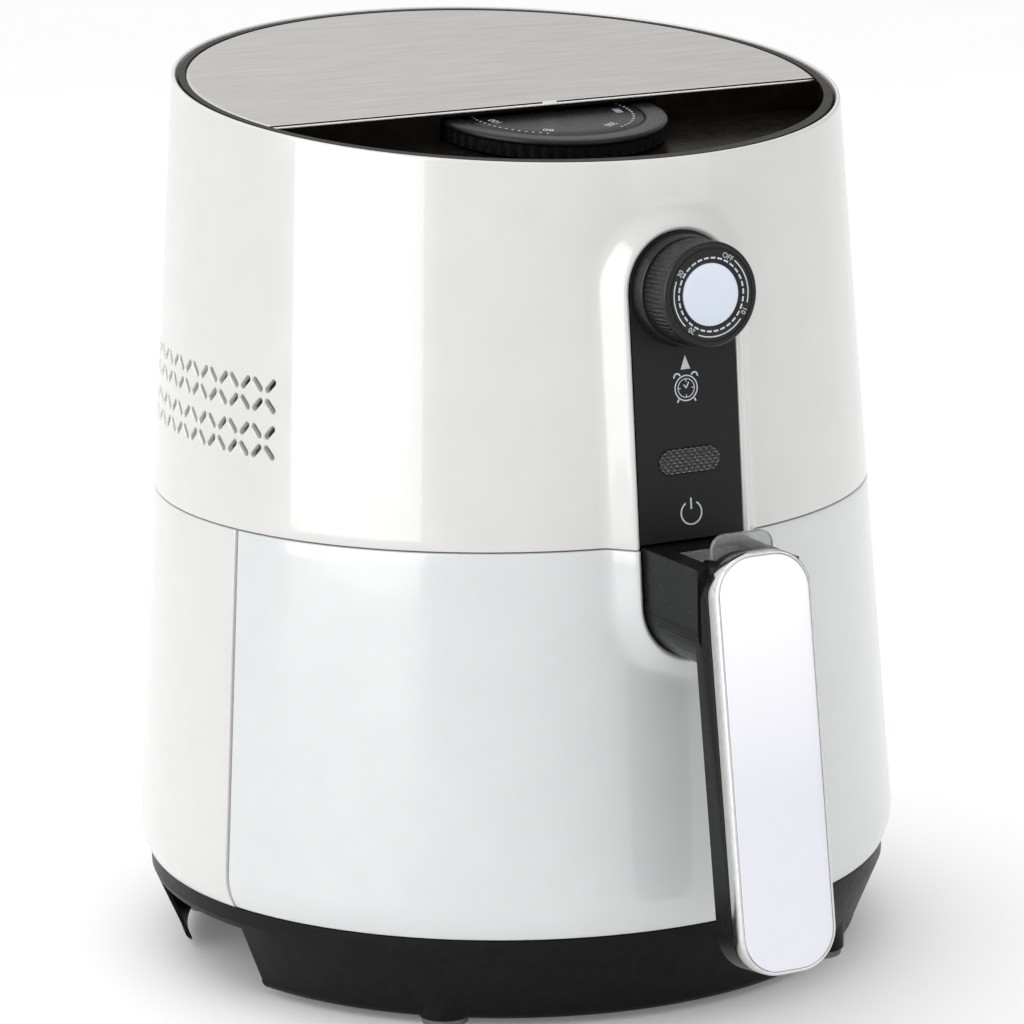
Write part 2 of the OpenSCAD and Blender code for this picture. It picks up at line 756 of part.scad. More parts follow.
module basket() color("#3a3c41") difference() {
    union() {
        translate([0, 0, basket_bottom]) cylinder(r = basket_r, h = basket_top - basket_bottom);
        for (a = [0:120:240]) rotate(a + 30)
            translate([basket_r - 10, 0, pan_bottom + sheet_t]) cylinder(r = 3, h = basket_z);
    }
    translate([0, 0, basket_bottom + sheet_t]) cylinder(r = basket_r - sheet_t, h = far);
    for (r = [18, 36, 54, 72], k = [0:r / 3 - 1])
        rotate(k * 1080 / r) translate([r, 0, basket_bottom - 1]) cylinder(r = 2, h = 4, $fn = 24);
    for (z = [basket_bottom + 10, basket_bottom + 20], k = [0:29])
        rotate(k * 12 + 6) translate([basket_r - 4, 0, z])
            rotate([0, 90, 0]) cylinder(r = 2, h = 8, $fn = 24);
}

module basket_bracket() color("#b4b7b9") {
    intersection() {
        translate([0, 0, basket_top - 34])
            tube(basket_r + strip_t, strip_t, strip_z + strip_t - basket_top + 34);
        translate([-strip_hw, -far, 0]) cube([2 * strip_hw, far, far]);
    }
    difference() {
        translate([-strip_hw, -neck_back - 2, strip_z])
            cube([2 * strip_hw, neck_back + 2 - basket_r + 4, strip_t]);
        cylinder(r = basket_r + 0.2, h = far);
        handle_screw_spots() translate([0, 0, -20]) cylinder(r = screw_r + run_fit, h = 40);
    }
}

module handle_screw_spots() {
    for (s = [-1, 1]) translate([s * 9, -pan_rim_r - 1, strip_z]) children();
}

module handle_screws() color("#b8babc")
    handle_screw_spots() translate([0, 0, 3.5]) mirror([0, 0, 1]) screw(3.5, 3, 1.2);

module handle_body() color("#262729") difference() {
    tongue_z = strip_z + strip_t;
    union() {
        neck_bar(neck_back, grip_y + 3);
        at_grip_middle() linear_extrude(back_t) rounded_rect(grip_w, grip_l, grip_round);
        translate([-17, -neck_back - 3, tongue_z])
            cube([34, neck_back + 3 - pan_rim_r + 5, root_top - tongue_z]);
    }
    // the root stays under the seam
    translate([-far, -neck_y + 1, root_top]) cube([2 * far, far, far]);
    // seat of the bracket
    translate([-strip_hw - fit, -neck_back - 2 - fit, strip_z - 4])
        cube([2 * (strip_hw + fit), 60, strip_t + 4]);
    handle_screw_spots() cylinder(r = screw_r + run_fit, h = 3.6);
    // pocket, slot of the cover and tunnel of the latch
    translate([-pocket_hw, -pocket_front, neck_top - pocket_h]) cube([2 * pocket_hw, pocket_l, far]);
    translate([-cover_hw - 0.1, -pocket_front - 0.1, cover_z - 0.1])
        cube([2 * cover_hw + 0.2, pocket_front + 0.2 - pocket_back + cover_travel + 3.1, cover_t + 0.2]);
    translate([-cover_hw - 0.1, -neck_y + 0.9, cover_z]) cube([2 * cover_hw + 0.2, cover_travel, far]);
    latch_window(5.5);
    latch_axis() cylinder(r = pin_r + run_fit, h = pin_l + 1, center = true);
}

module latch_axis() translate([0, -pivot_y, pivot_z]) rotate([0, 90, 0]) children();

module latch_pin() color("#b8babc") latch_axis() cylinder(r = pin_r, h = pin_l, center = true);

module pad_outline(gap = 0)
    rounded_rect(grip_w - 2 * (bezel_w + gap), grip_l - 2 * (bezel_w + gap), grip_round - bezel_w - gap);

module handle_bezel() color("#b9bcc0") at_grip_middle(back_t) difference() {
    linear_extrude(bezel_t) rounded_rect(grip_w, grip_l, grip_round);
    translate([0, 0, bezel_t - pad_t]) linear_extrude(pad_t + 1) pad_outline();
}

module handle_pad() color("#e3e4e6") at_grip_middle(back_t + bezel_t - pad_t)
    linear_extrude(pad_t + 0.4) pad_outline(0.1);

module release_button() color("#8f8674") {
    translate([0.4 - pocket_hw, -button_front, button_top - 5]) cube([2 * pocket_hw - 0.8, button_l, 5]);
    translate([-3, -stem_y - 1, pivot_z + 3.1]) cube([6, 2, button_top - 4 - pivot_z - 3.1]);
}

module button_spring() color("#c0c2c4") for (s = [-1, 1])
    translate([s * 8, -stem_y + 6, neck_top - pocket_h])
        tube(2.5, 0.8, button_top - 5 - neck_top + pocket_h - 0.1);

module release_latch() color("#b4b7b9") difference() {
    union() {
        latch_axis() cylinder(r = 3, h = 9, center = true);
        translate([-4.5, -stem_y - 2, pivot_z]) cube([9, 20, 3]);
        translate([-4.5, -pivot_y, pivot_z]) cube([9, pivot_y - liner_r + 3.5, 2.5]);
        translate([-4.5, -liner_r + 0.6, pivot_z - 4]) cube([9, 2.9, 6]);
    }
    latch_axis() cylinder(r = pin_r + run_fit, h = 20, center = true);
}

module button_cover() color([0.92, 0.94, 0.95, 0.4]) {
    translate([-cover_hw, -pocket_back - cover_l, cover_z]) cube([2 * cover_hw, cover_l, cover_t]);
    translate([0, -pocket_back - cover_l, cover_z]) rotate([90, 0, 0]) linear_extrude(1.8) intersection() {
        translate([0, seam + lip_up - cover_z - 20]) rounded_rect(2 * pocket_hw - 1, 40, 5);
        translate([-20, 0]) square([40, 40]);
    }
}

// ---- Knobs ----

module timer_knob() color("#1f2022") at_panel() difference() {
    union() {
        translate([0, 0, fit]) cylinder(r1 = knob_base_r, r2 = knob_r, h = knob_skirt - fit);
        translate([0, 0, knob_skirt]) cylinder(r = knob_r - 0.4, h = knob_h - knob_skirt);
        for (k = [0:47]) rotate(k * 7.5)
            translate([knob_r - 0.7, -0.5, knob_skirt]) cube([0.6, 1, knob_h - knob_skirt - 2]);
    }
    translate([0, 0, knob_h - 1.2]) cylinder(r = cap_r + 0.1, h = 2);
    translate([0, 0, -1]) cylinder(r = shaft_r + run_fit, h = 14);
}

module knob_cap() color("#c9d0d8") at_panel()
    translate([0, 0, knob_h - 1.2]) cylinder(r = cap_r, h = 1);

module timer_shaft() color("#b8babc") at_panel()
    translate([0, 0, -22]) cylinder(r = shaft_r, h = 34.5);

module at_dial() at_rim(recess_h - 0.6) translate([0, -dial_y, 0]) children();

module temperature_dial() color("#1e1f21") at_dial() difference() {
    union() {
        cylinder(r = dial_r - 0.7, h = dial_h);
        translate([0, 0, dial_h - 2]) cylinder(r = dial_r, h = 2);
        for (k = [0:23]) rotate(k * 15)
            translate([dial_r - 1.1, -0.8, 0]) cube([1, 1.6, dial_h - 1]);
    }
    translate([0, 0, dial_h - 1.2]) cylinder(r = dial_face_r + 0.2, h = 2);
    translate([0, 0, -1]) cylinder(r = shaft_r + run_fit, h = dial_h - 1.5);
}

module dial_face() color("#2b2c2e") at_dial()
    translate([0, 0, dial_h - 1.2]) cylinder(r = dial_face_r, h = 0.8);

module dial_shaft() color("#b8babc") at_dial()
    translate([0, 0, -deck_t - 9]) cylinder(r = shaft_r, h = deck_t + 9 + dial_h - 3);

// ---- Fan ----

module impeller() color("#aeb1b3") translate([0, 0, impeller_z]) difference() {
    union() {
        cylinder(r = 9, h = impeller_h);
        translate([0, 0, impeller_h - 1]) cylinder(r = impeller_r, h = 1);
        blades(12, 14, impeller_r - 2, impeller_h - 0.5, 1.2, 0);
    }
    translate([0, 0, -1]) cylinder(r = axle_r + run_fit, h = impeller_h + 2);
}

module cooling_fan() color("#3a3b3d") translate([0, 0, fan_z]) difference() {
    union() {
        cylinder(r = 10, h = fan_h);
        translate([0, 0, 1]) blades(7, 8, fan_r - 2, fan_h - 2, 1.5, 20);
        tube(fan_r, 2.5, fan_h);
    }
    translate([0, 0, -1]) cylinder(r = axle_r + run_fit, h = fan_h + 2);
}

module motor_shaft() color("#c4c6c8")
    translate([0, 0, impeller_z - 2]) cylinder(r = axle_r, h = motor_z + motor_h + 3 - impeller_z + 2);

base_tray();
feet();
lower_shell();
upper_shell();
cavity_liner();
chassis_plate();
chamber_liner();
element_guard();
heater_coil();
heat_shield();
motor_bracket();
motor();
top_deck();
top_plate();
thermostat();
control_panel();
timer_body();
indicator_lens();
indicator_lamp();
exhaust_grille();
cord_gland();
terminal_block();
drawer_switch();
drawer_guides();
housing_screws();
pan();
drawer_front();
drawer_liner();
pan_screws();
basket();
basket_bracket();
handle_body();
handle_bezel();
handle_pad();
handle_screws();
latch_pin();
button_spring();
release_button();
release_latch();
button_cover();
timer_knob();
knob_cap();
timer_shaft();
temperature_dial();
dial_face();
dial_shaft();
impeller();
cooling_fan();
motor_shaft();
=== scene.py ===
import json
import math
import bmesh
import bpy
import numpy as np
from mathutils import Matrix, Vector


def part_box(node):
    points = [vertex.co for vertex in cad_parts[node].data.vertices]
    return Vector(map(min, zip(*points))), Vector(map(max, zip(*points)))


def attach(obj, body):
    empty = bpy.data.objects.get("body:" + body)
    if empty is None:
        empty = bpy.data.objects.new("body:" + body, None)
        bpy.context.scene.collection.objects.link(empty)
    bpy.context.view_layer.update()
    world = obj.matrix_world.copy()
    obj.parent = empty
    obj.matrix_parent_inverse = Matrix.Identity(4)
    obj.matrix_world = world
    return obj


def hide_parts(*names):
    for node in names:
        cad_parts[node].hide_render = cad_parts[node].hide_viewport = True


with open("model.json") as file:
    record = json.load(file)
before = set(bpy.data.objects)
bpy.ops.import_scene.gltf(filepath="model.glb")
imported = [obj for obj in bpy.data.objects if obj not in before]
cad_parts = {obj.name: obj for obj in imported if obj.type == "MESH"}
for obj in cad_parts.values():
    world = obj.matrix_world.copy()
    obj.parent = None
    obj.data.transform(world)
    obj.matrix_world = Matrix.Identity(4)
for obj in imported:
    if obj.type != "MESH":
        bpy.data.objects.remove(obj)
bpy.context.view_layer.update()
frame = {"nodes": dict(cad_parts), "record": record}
print("frame loaded")

# ---- frames and sizes, in millimetres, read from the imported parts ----


def corners(node):
    lo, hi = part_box(node)
    return np.array(lo) * 1000, np.array(hi) * 1000


def middle(node):
    return sum(corners(node)) / 2


def axes(origin, angle):
    # across is +X, up leans back by angle, out points at the viewer of that face
    return (np.array(origin, float), np.array([0, math.sin(angle), math.cos(angle)]),
            np.array([0, -math.cos(angle), math.sin(angle)]))


def place(base, x, y, z):
    origin, up, out = base
    x, y, z = np.broadcast_arrays(x, y, z)
    return origin + x[..., None] * np.array([1.0, 0, 0]) + y[..., None] * up + z[..., None] * out


shell = dict(lean=math.radians(4.1), turnIn=4.4, turnHigh=13.0, wall=2.5)
tilt = math.radians(6.13)
baseTop = corners("base_tray")[1][2]
bodyR = corners("base_tray")[1][0] + shell["turnIn"]
drawerTop = corners("drawer_front")[1][2]
upperLow = corners("upper_shell")[0][2]


def shellRadius(z):
    # r = R - (z - z0) tan(lean), less a parabola over the turned-in edge
    z = np.asarray(z, float)
    t = np.clip(1 - (z - baseTop) / shell["turnHigh"], 0, 1)
    return bodyR - (z - baseTop) * math.tan(shell["lean"]) - shell["turnIn"] * t ** 2


topZ = corners("upper_shell")[1][2]
rimZ = topZ - float(shellRadius(topZ)) * math.tan(tilt)
rimBase = (np.array([0, 0, rimZ]), np.array([0, math.cos(tilt), math.sin(tilt)]),
           np.array([0, -math.sin(tilt), math.cos(tilt)]))
# the cap's middle stands 18.8 out of the panel's plane
panelBase = axes(middle("knob_cap"), shell["lean"])
panelBase = (panelBase[0] - 18.8 * panelBase[2], *panelBase[1:])
gripBase = axes(middle("handle_bezel"), math.radians(7.8))

# ---- materials ----


def nodeMaterial(name, tones, rough, scale=120.0, stretch=(1, 1, 1), bump=0.0, detail=3.0, **sockets):
    # a noise in object space drives the colour, the roughness and a fine relief
    mat = bpy.data.materials.new(name)
    mat.use_nodes = True
    tree = mat.node_tree
    shader = tree.nodes["Principled BSDF"]
    coord = tree.nodes.new("ShaderNodeTexCoord")
    mapping = tree.nodes.new("ShaderNodeMapping")
    mapping.inputs["Scale"].default_value = stretch
    noise = tree.nodes.new("ShaderNodeTexNoise")
    noise.inputs["Scale"].default_value = scale
    noise.inputs["Detail"].default_value = detail
    tree.links.new(coord.outputs["Object"], mapping.inputs["Vector"])
    tree.links.new(mapping.outputs["Vector"], noise.inputs["Vector"])
    for values, socket in ((tones, "Base Color"), (rough, "Roughness")):
        ramp = tree.nodes.new("ShaderNodeValToRGB")
        ramp.color_ramp.elements[0].position = 0.3
        ramp.color_ramp.elements[1].position = 0.7
        for element, value in zip(ramp.color_ramp.elements, values):
            element.color = (*value, 1) if isinstance(value, tuple) else (value, value, value, 1)
        tree.links.new(noise.outputs["Fac"], ramp.inputs["Fac"])
        tree.links.new(ramp.outputs["Color"], shader.inputs[socket])
    if bump:
        relief = tree.nodes.new("ShaderNodeBump")
        relief.inputs["Strength"].default_value = bump
        relief.inputs["Distance"].default_value = 0.0004
        tree.links.new(noise.outputs["Fac"], relief.inputs["Height"])
        tree.links.new(relief.outputs["Normal"], shader.inputs["Normal"])
    for key, value in sockets.items():
        shader.inputs[key.replace("_", " ")].default_value = value
    return mat


look = {
    "white": nodeMaterial("shellWhite", ((0.70, 0.70, 0.69), (0.72, 0.72, 0.71)), (0.20, 0.26), 60,
                          Coat_Weight=0.6, Coat_Roughness=0.04),
    "front": nodeMaterial("drawerWhite", ((0.69, 0.71, 0.71), (0.71, 0.73, 0.73)), (0.20, 0.26), 60,
                          Coat_Weight=0.5, Coat_Roughness=0.05),
    "base": nodeMaterial("baseBlack", (0.004, 0.007), (0.35, 0.45), 300, bump=0.02, Specular_IOR_Level=0.12),
    "foot": nodeMaterial("footRubber", (0.13, 0.18), (0.6, 0.75), 400, bump=0.15),
    "deck": nodeMaterial("deckBlack", ((0.006, 0.005, 0.004), (0.010, 0.008, 0.007)), (0.22, 0.30), 200,
                         Specular_IOR_Level=0.05),
    "steel": nodeMaterial("brushedPlate", ((0.60, 0.59, 0.57), (0.70, 0.69, 0.67)), (0.26, 0.36), 900,
                          stretch=(0.04, 1, 1), bump=0.05, detail=6, Metallic=1.0),
    "panel": nodeMaterial("panelBlack", (0.009, 0.015), (0.36, 0.50), 2200, bump=0.08, detail=2,
                          Specular_IOR_Level=0.18),
    "knob": nodeMaterial("knobBlack", (0.008, 0.013), (0.26, 0.34), 900, bump=0.05, Specular_IOR_Level=0.25),
    "disc": nodeMaterial("knobDisc", ((0.62, 0.67, 0.76), (0.66, 0.71, 0.80)), (0.36, 0.40), 60,
                         Metallic=0.5),
    "dial": nodeMaterial("dialBlack", (0.008, 0.012), (0.24, 0.32), 900, bump=0.04, Specular_IOR_Level=0.2),
    "print": nodeMaterial("printGrey", ((0.52, 0.56, 0.62), (0.60, 0.64, 0.70)), (0.4, 0.5), 400),
    "lens": nodeMaterial("lensClear", (0.10, 0.16), (0.12, 0.18), 200, Transmission_Weight=0.35, IOR=1.49),
    "lamp": nodeMaterial("lampAmber", ((0.75, 0.34, 0.08), (0.85, 0.42, 0.12)), (0.2, 0.3), 200,
                         Transmission_Weight=0.3),
    "handle": nodeMaterial("handleBlack", (0.004, 0.007), (0.26, 0.36), 500, bump=0.03,
                           Specular_IOR_Level=0.15),
    "bezel": nodeMaterial("bezelSilver", (0.60, 0.68), (0.14, 0.20), 500, Metallic=1.0),
    "pad": nodeMaterial("padSilver", ((0.80, 0.80, 0.85), (0.88, 0.88, 0.92)), (0.30, 0.40), 3200,
                        bump=0.05, detail=2, Metallic=0.5),
    "button": nodeMaterial("buttonBeige", ((0.38, 0.34, 0.26), (0.44, 0.40, 0.31)), (0.3, 0.4), 300),
    "cover": nodeMaterial("coverClear", (0.62, 0.72), (0.05, 0.10), 200, Transmission_Weight=0.8, IOR=1.47),
    "coating": nodeMaterial("panCoating", (0.030, 0.050), (0.34, 0.46), 1400, bump=0.10),
    "basketCoat": nodeMaterial("basketCoating", (0.030, 0.055), (0.30, 0.42), 1400, bump=0.10),
    "liner": nodeMaterial("linerGrey", (0.50, 0.56), (0.38, 0.48), 200),
    "sheet": nodeMaterial("sheetSteel", (0.50, 0.58), (0.28, 0.38), 300, stretch=(1, 1, 0.2), Metallic=1.0),
    "bracket": nodeMaterial("bracketSteel", (0.52, 0.60), (0.30, 0.38), 500, Metallic=1.0),
    "wire": nodeMaterial("wireSteel", (0.55, 0.64), (0.22, 0.30), 300, Metallic=1.0),
    "sheath": nodeMaterial("heaterSheath", ((0.15, 0.13, 0.12), (0.22, 0.19, 0.17)), (0.4, 0.5), 300,
                           Metallic=0.8),
    "motor": nodeMaterial("motorSteel", (0.30, 0.38), (0.32, 0.42), 400, Metallic=0.9),
    "screw": nodeMaterial("screwSteel", (0.50, 0.60), (0.22, 0.32), 600, Metallic=1.0),
    "spring": nodeMaterial("springSteel", (0.48, 0.58), (0.20, 0.30), 600, Metallic=1.0),
    "ceramic": nodeMaterial("ceramicCream", ((0.64, 0.60, 0.50), (0.70, 0.66, 0.56)), (0.5, 0.6), 300),
    "timer": nodeMaterial("timerCream", ((0.58, 0.54, 0.42), (0.64, 0.60, 0.48)), (0.4, 0.5), 300),
    "rubber": nodeMaterial("rubberBlack", (0.020, 0.028), (0.5, 0.6), 500, bump=0.10),
    "fanMetal": nodeMaterial("fanAluminium", (0.52, 0.60), (0.28, 0.38), 500, Metallic=1.0),
    "fanPlastic": nodeMaterial("fanPlastic", (0.030, 0.045), (0.4, 0.5), 400),
}


def crossWaves(mat, pitch, low, high, strength):
    # two families of bands at right angles, sin(u) and sin(v), make diamonds in the colour and the relief
    tree = mat.node_tree
    shader = tree.nodes["Principled BSDF"]
    coord = tree.nodes["Texture Coordinate"]
    product = tree.nodes.new("ShaderNodeMath")
    product.operation = "MULTIPLY"
    for k, turn in enumerate((math.pi / 4, -math.pi / 4)):
        mapping = tree.nodes.new("ShaderNodeMapping")
        mapping.inputs["Rotation"].default_value = (0, turn, 0)
        wave = tree.nodes.new("ShaderNodeTexWave")
        wave.inputs["Scale"].default_value = 0.314 / pitch  # at scale 1 a band repeats every 0.314
        tree.links.new(coord.outputs["Object"], mapping.inputs["Vector"])
        tree.links.new(mapping.outputs["Vector"], wave.inputs["Vector"])
        tree.links.new(wave.outputs["Fac"], product.inputs[k])
    ramp = tree.nodes.new("ShaderNodeValToRGB")
    ramp.color_ramp.elements[0].color = (*low, 1)
    ramp.color_ramp.elements[1].color = (*high, 1)
    relief = tree.nodes.new("ShaderNodeBump")
    relief.inputs["Strength"].default_value = strength
    relief.inputs["Distance"].default_value = pitch
    tree.links.new(product.outputs["Value"], ramp.inputs["Fac"])
    tree.links.new(ramp.outputs["Color"], shader.inputs["Base Color"])
    tree.links.new(product.outputs["Value"], relief.inputs["Height"])
    tree.links.new(relief.outputs["Normal"], shader.inputs["Normal"])


def paintedReflectionFade(mat, low, high, stops):
    # the base colour changes with the height between low and high, in metres: a painted reflection, lighter
    # toward the top
    tree = mat.node_tree
    split = tree.nodes.new("ShaderNodeSeparateXYZ")
    height = tree.nodes.new("ShaderNodeMapRange")
    height.inputs["From Min"].default_value = low
    height.inputs["From Max"].default_value = high
    ramp = tree.nodes.new("ShaderNodeValToRGB")
    while len(ramp.color_ramp.elements) < len(stops):
        ramp.color_ramp.elements.new(0.5)
    for element, (where, tone) in zip(ramp.color_ramp.elements, stops):
        element.position = where
        element.color = (*tone, 1)
    tree.links.new(tree.nodes["Texture Coordinate"].outputs["Object"], split.inputs[0])
    tree.links.new(split.outputs["Z"], height.inputs["Value"])
    tree.links.new(height.outputs["Result"], ramp.inputs["Fac"])
    tree.links.new(ramp.outputs["Color"], tree.nodes["Principled BSDF"].inputs["Base Color"])


crossWaves(look["lens"], 0.0016, (0.03, 0.03, 0.03), (0.30, 0.30, 0.30), 0.8)
# painted reflection: the pad's colour runs from lavender grey low down to near white at the top, standing in
# for the bright reflection on its upper part
paintedReflectionFade(look["pad"], 0.03, 0.17,
       [(0.0, (0.80, 0.80, 0.86)), (0.45, (0.78, 0.78, 0.85)), (1.0, (0.98, 0.98, 0.98))])
print("materials ready")

# ---- mesh helpers ----


def gridFaces(rows, cols, start=0, loop=False):
    index = np.arange(rows * cols).reshape(rows, cols) + start
    if loop:
        index = np.hstack([index, index[:, :1]])
    return np.stack([index[:-1, :-1], index[:-1, 1:], index[1:, 1:], index[1:, :-1]], -1).reshape(-1, 4)


def addPiece(name, points, faces, material, body, nodes=(), angle=34):
    mesh = bpy.data.meshes.new(name)
    mesh.from_pydata((np.asarray(points).reshape(-1, 3) * 0.001).tolist(), [], np.asarray(faces).tolist())
    work = bmesh.new()
    work.from_mesh(mesh)
    bmesh.ops.remove_doubles(work, verts=work.verts, dist=2e-6)
    bmesh.ops.recalc_face_normals(work, faces=work.faces)
    work.to_mesh(mesh)
    work.free()
    mesh.shade_smooth()
    mesh.set_sharp_from_angle(angle=math.radians(angle))
    mesh.materials.append(look[material])
    obj = bpy.data.objects.new(name, mesh)
    bpy.context.scene.collection.objects.link(obj)
    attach(obj, body)
    if nodes:
        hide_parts(*nodes)
    return obj


def stacked(rings):
    # closed outlines one above another: (k, n, 3) points, drawn together to a point at both ends
    rings = np.asarray(rings, float)
    first = np.repeat(rings[:1].mean(1, keepdims=True), rings.shape[1], 1)
    last = np.repeat(rings[-1:].mean(1, keepdims=True), rings.shape[1], 1)
    rings = np.concatenate([first, rings, last])
    return rings, gridFaces(rings.shape[0], rings.shape[1], loop=True)


def joined(parts):
    points, faces, count = [], [], 0
    for p, f in parts:
        p = np.asarray(p).reshape(-1, 3)
        points.append(p)
        faces.append(f + count)
        count += len(p)
    return np.vstack(points), np.vstack(faces)


def copyOf(node, name, material, body, bevel=0.0, angle=34, segments=2):
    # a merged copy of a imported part, its flat faces made whole and its edges broken
    mesh = frame["nodes"][node].data.copy()
    mesh.name = name
    work = bmesh.new()
    work.from_mesh(mesh)
    bmesh.ops.remove_doubles(work, verts=work.verts, dist=1e-6)
    if bevel:
        bmesh.ops.dissolve_limit(work, angle_limit=math.radians(0.6), verts=work.verts, edges=work.edges,
                                 use_dissolve_boundaries=False)
    work.to_mesh(mesh)
    work.free()
    mesh.materials.clear()
    mesh.materials.append(look[material])
    mesh.shade_smooth()
    mesh.set_sharp_from_angle(angle=math.radians(angle))
    obj = bpy.data.objects.new(name, mesh)
    bpy.context.scene.collection.objects.link(obj)
    if bevel:
        edge = obj.modifiers.new("edge", "BEVEL")
        edge.width = bevel * 0.001
        edge.segments = segments
        edge.limit_method = "ANGLE"
        edge.angle_limit = math.radians(38)
        edge.use_clamp_overlap = True
        edge.harden_normals = True
    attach(obj, body)
    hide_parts(node)
    return obj


# ---- white shell ----


def wallPoints(phi, z, inset):
    # (r sin phi, -r cos phi, z) with r drawn in by inset
    r = shellRadius(z) - inset
    return np.stack(np.broadcast_arrays(r * np.sin(phi), -r * np.cos(phi), z), -1)


def swell(x, z, d, lip):
    # y of the raised border: the wall's own y, plus the rise to the face's plane times S(d)
    r = shellRadius(z)
    wall = np.sqrt(np.maximum(r * r - x * x, 1))
    rise = r + lip["proud"] + lip["crest"] - wall
    t = np.clip((d - lip["ridge"]) / lip["reach"], 0, 1) ** lip["ease"]
    s = 1 - t * t * (3 - 2 * t)
    inner = np.clip(1 - d / lip["ridge"], 0, 1) ** 2 * lip["inner"]
    return -(wall + rise * s - inner)


def frontPatch(rows, insets, lip, phiB, acrossPhi, farRows, direction, wall):
    # the wall round an opening with parallel sides and a round end, as outer and inner grids
    zc, r0, w0 = lip["centre"], lip["radius"], lip["flat"]
    dist = np.array(lip["steps"])
    reach = dist[-1]
    spread = np.array([0.25, 0.5, 0.75, 1.0])
    blocks = []

    def both(x, z, d, inset):
        y = swell(x, z, d, lip)
        r = shellRadius(z)
        outer = np.stack([x, y + inset * np.sign(-y), z], -1)
        innerX = x * (r - wall) / r
        inner = np.stack([innerX, -np.sqrt((r - wall) ** 2 - innerX ** 2), z], -1)
        return outer, inner

    for side in (-1, 1):
        z = np.repeat(rows[:, None], len(dist) + len(spread), 1)
        near = np.repeat((side * (w0 + r0 + dist))[None], len(rows), 0)
        edge = side * shellRadius(rows)[:, None] * math.sin(phiB)
        outerX = near[:, -1:] + (edge - near[:, -1:]) * spread
        x = np.hstack([near, outerX])
        d = np.repeat(np.concatenate([dist, reach + (dist[-1] * 2) * spread])[None], len(rows), 0)
        inset = np.repeat(insets[:, None], x.shape[1], 1)
        outer, inner = both(x, z, d, inset)
        last = wallPoints(side * phiB, rows, insets)
        outer[:, -1] = last
        inner[:, -1] = wallPoints(side * phiB, rows, wall)
        blocks.append((outer, inner))
    phi = np.concatenate([np.full(len(farRows) - 1, phiB), acrossPhi, np.full(len(farRows) - 1, -phiB)])
    z = np.concatenate([farRows[:-1], np.full(len(acrossPhi), farRows[-1]), farRows[:-1][::-1]])
    x = shellRadius(z) * np.sin(phi)
    turn = np.arctan2(np.abs(z - zc), x)
    turn[0], turn[-1] = 0.0, math.pi
    cx = w0 * np.sign(np.round(np.cos(turn), 6))
    nearX = cx[:, None] + (r0 + dist) * np.cos(turn)[:, None]
    nearZ = zc + direction * (r0 + dist) * np.sin(turn)[:, None]
    fullX = np.hstack([nearX, nearX[:, -1:] + (x[:, None] - nearX[:, -1:]) * spread])
    fullZ = np.hstack([nearZ, nearZ[:, -1:] + (z[:, None] - nearZ[:, -1:]) * spread])
    d = np.repeat(np.concatenate([dist, reach + (dist[-1] * 2) * spread])[None], len(x), 0)
    outer, inner = both(fullX, fullZ, d, np.zeros_like(fullX))
    outer[:, -1] = wallPoints(phi, z, 0)
    inner[:, -1] = wallPoints(phi, z, wall)
    blocks.append((outer, inner))
    return blocks


def doubled(blocks, extra=()):
    # outer and inner sheets over the same grid, joined along every free edge of the outer one
    outer, inner, faces, count = [], [], [], 0
    for o, i in blocks:
        outer.append(o.reshape(-1, 3))
        inner.append(i.reshape(-1, 3))
        faces.append(gridFaces(o.shape[0], o.shape[1], count))
        count += o.shape[0] * o.shape[1]
    for o, i, f in extra:
        outer.append(o.reshape(-1, 3))
        inner.append(i.reshape(-1, 3))
        faces.append(f + count)
        count += len(o.reshape(-1, 3))
    outer, inner, faces = np.vstack(outer), np.vstack(inner), np.vstack(faces)
    first, same = np.unique(np.round(outer, 3), axis=0, return_index=True, return_inverse=True)[1:]
    outer, inner, faces = outer[first], inner[first], same.reshape(-1)[faces]
    edges = np.concatenate([faces[:, [k, (k + 1) % 4]] for k in range(4)])
    edges = edges[edges[:, 0] != edges[:, 1]]
    where, uses = np.unique(np.sort(edges, 1), axis=0, return_index=True, return_counts=True)[1:]
    free = edges[where[uses == 1]]
    n = len(outer)
    strip = np.stack([free[:, 1], free[:, 0], free[:, 0] + n, free[:, 1] + n], -1)
    return np.vstack([outer, inner]), np.vstack([faces, faces[:, ::-1] + n, strip])


def gridBlocks(phi, colInset, z, rowInset, keep, wall):
    # the wall over a grid of directions and heights, with the cells that aren't kept left open
    p, q = np.meshgrid(phi, z, indexing="ij")
    a, b = np.meshgrid(colInset, rowInset, indexing="ij")
    outer = wallPoints(p, q, np.maximum(a, b))
    inner = wallPoints(p, q, wall)
    cell = gridFaces(len(phi), len(z)).reshape(len(phi) - 1, len(z) - 1, 4)
    return outer, inner, cell[keep]


border = dict(proud=4.5, crest=0.5, ridge=1.4, inner=1.2, reach=8.5, ease=0.75,
              steps=[0, 0.15, 0.4, 0.7, 1.05, 1.4, 1.75, 2.2, 2.8, 3.5, 4.4, 5.4, 6.6, 8.0, 9.4, 11])
lipPanel = dict(border, centre=float(panelBase[0][2]), radius=19.75, flat=0.0)
lipNeck = dict(border, centre=147.8, radius=18.8, flat=0.7)
vents = dict(first=math.radians(68), count=16, pitch=6.14, long=6.0, wide=2.2, chamfer=0.3,
             low=(upperLow + 24.65, upperLow + 40.45), rowHigh=6.8)
# a rounded edge in four steps: how far in, and how far from the edge
edgeCut = np.array([0.5, 0.25, 0.07, 0.0])
edgeRise = np.array([0.0, 0.07, 0.25, 0.5])
edgeTurn = np.degrees(edgeRise / 128)  # the same steps as degrees, 128 mm from the axis
frontHalf = 74.4  # degrees of the drawer front each side
turnTop = 47.0  # height where the turned-in edge ends


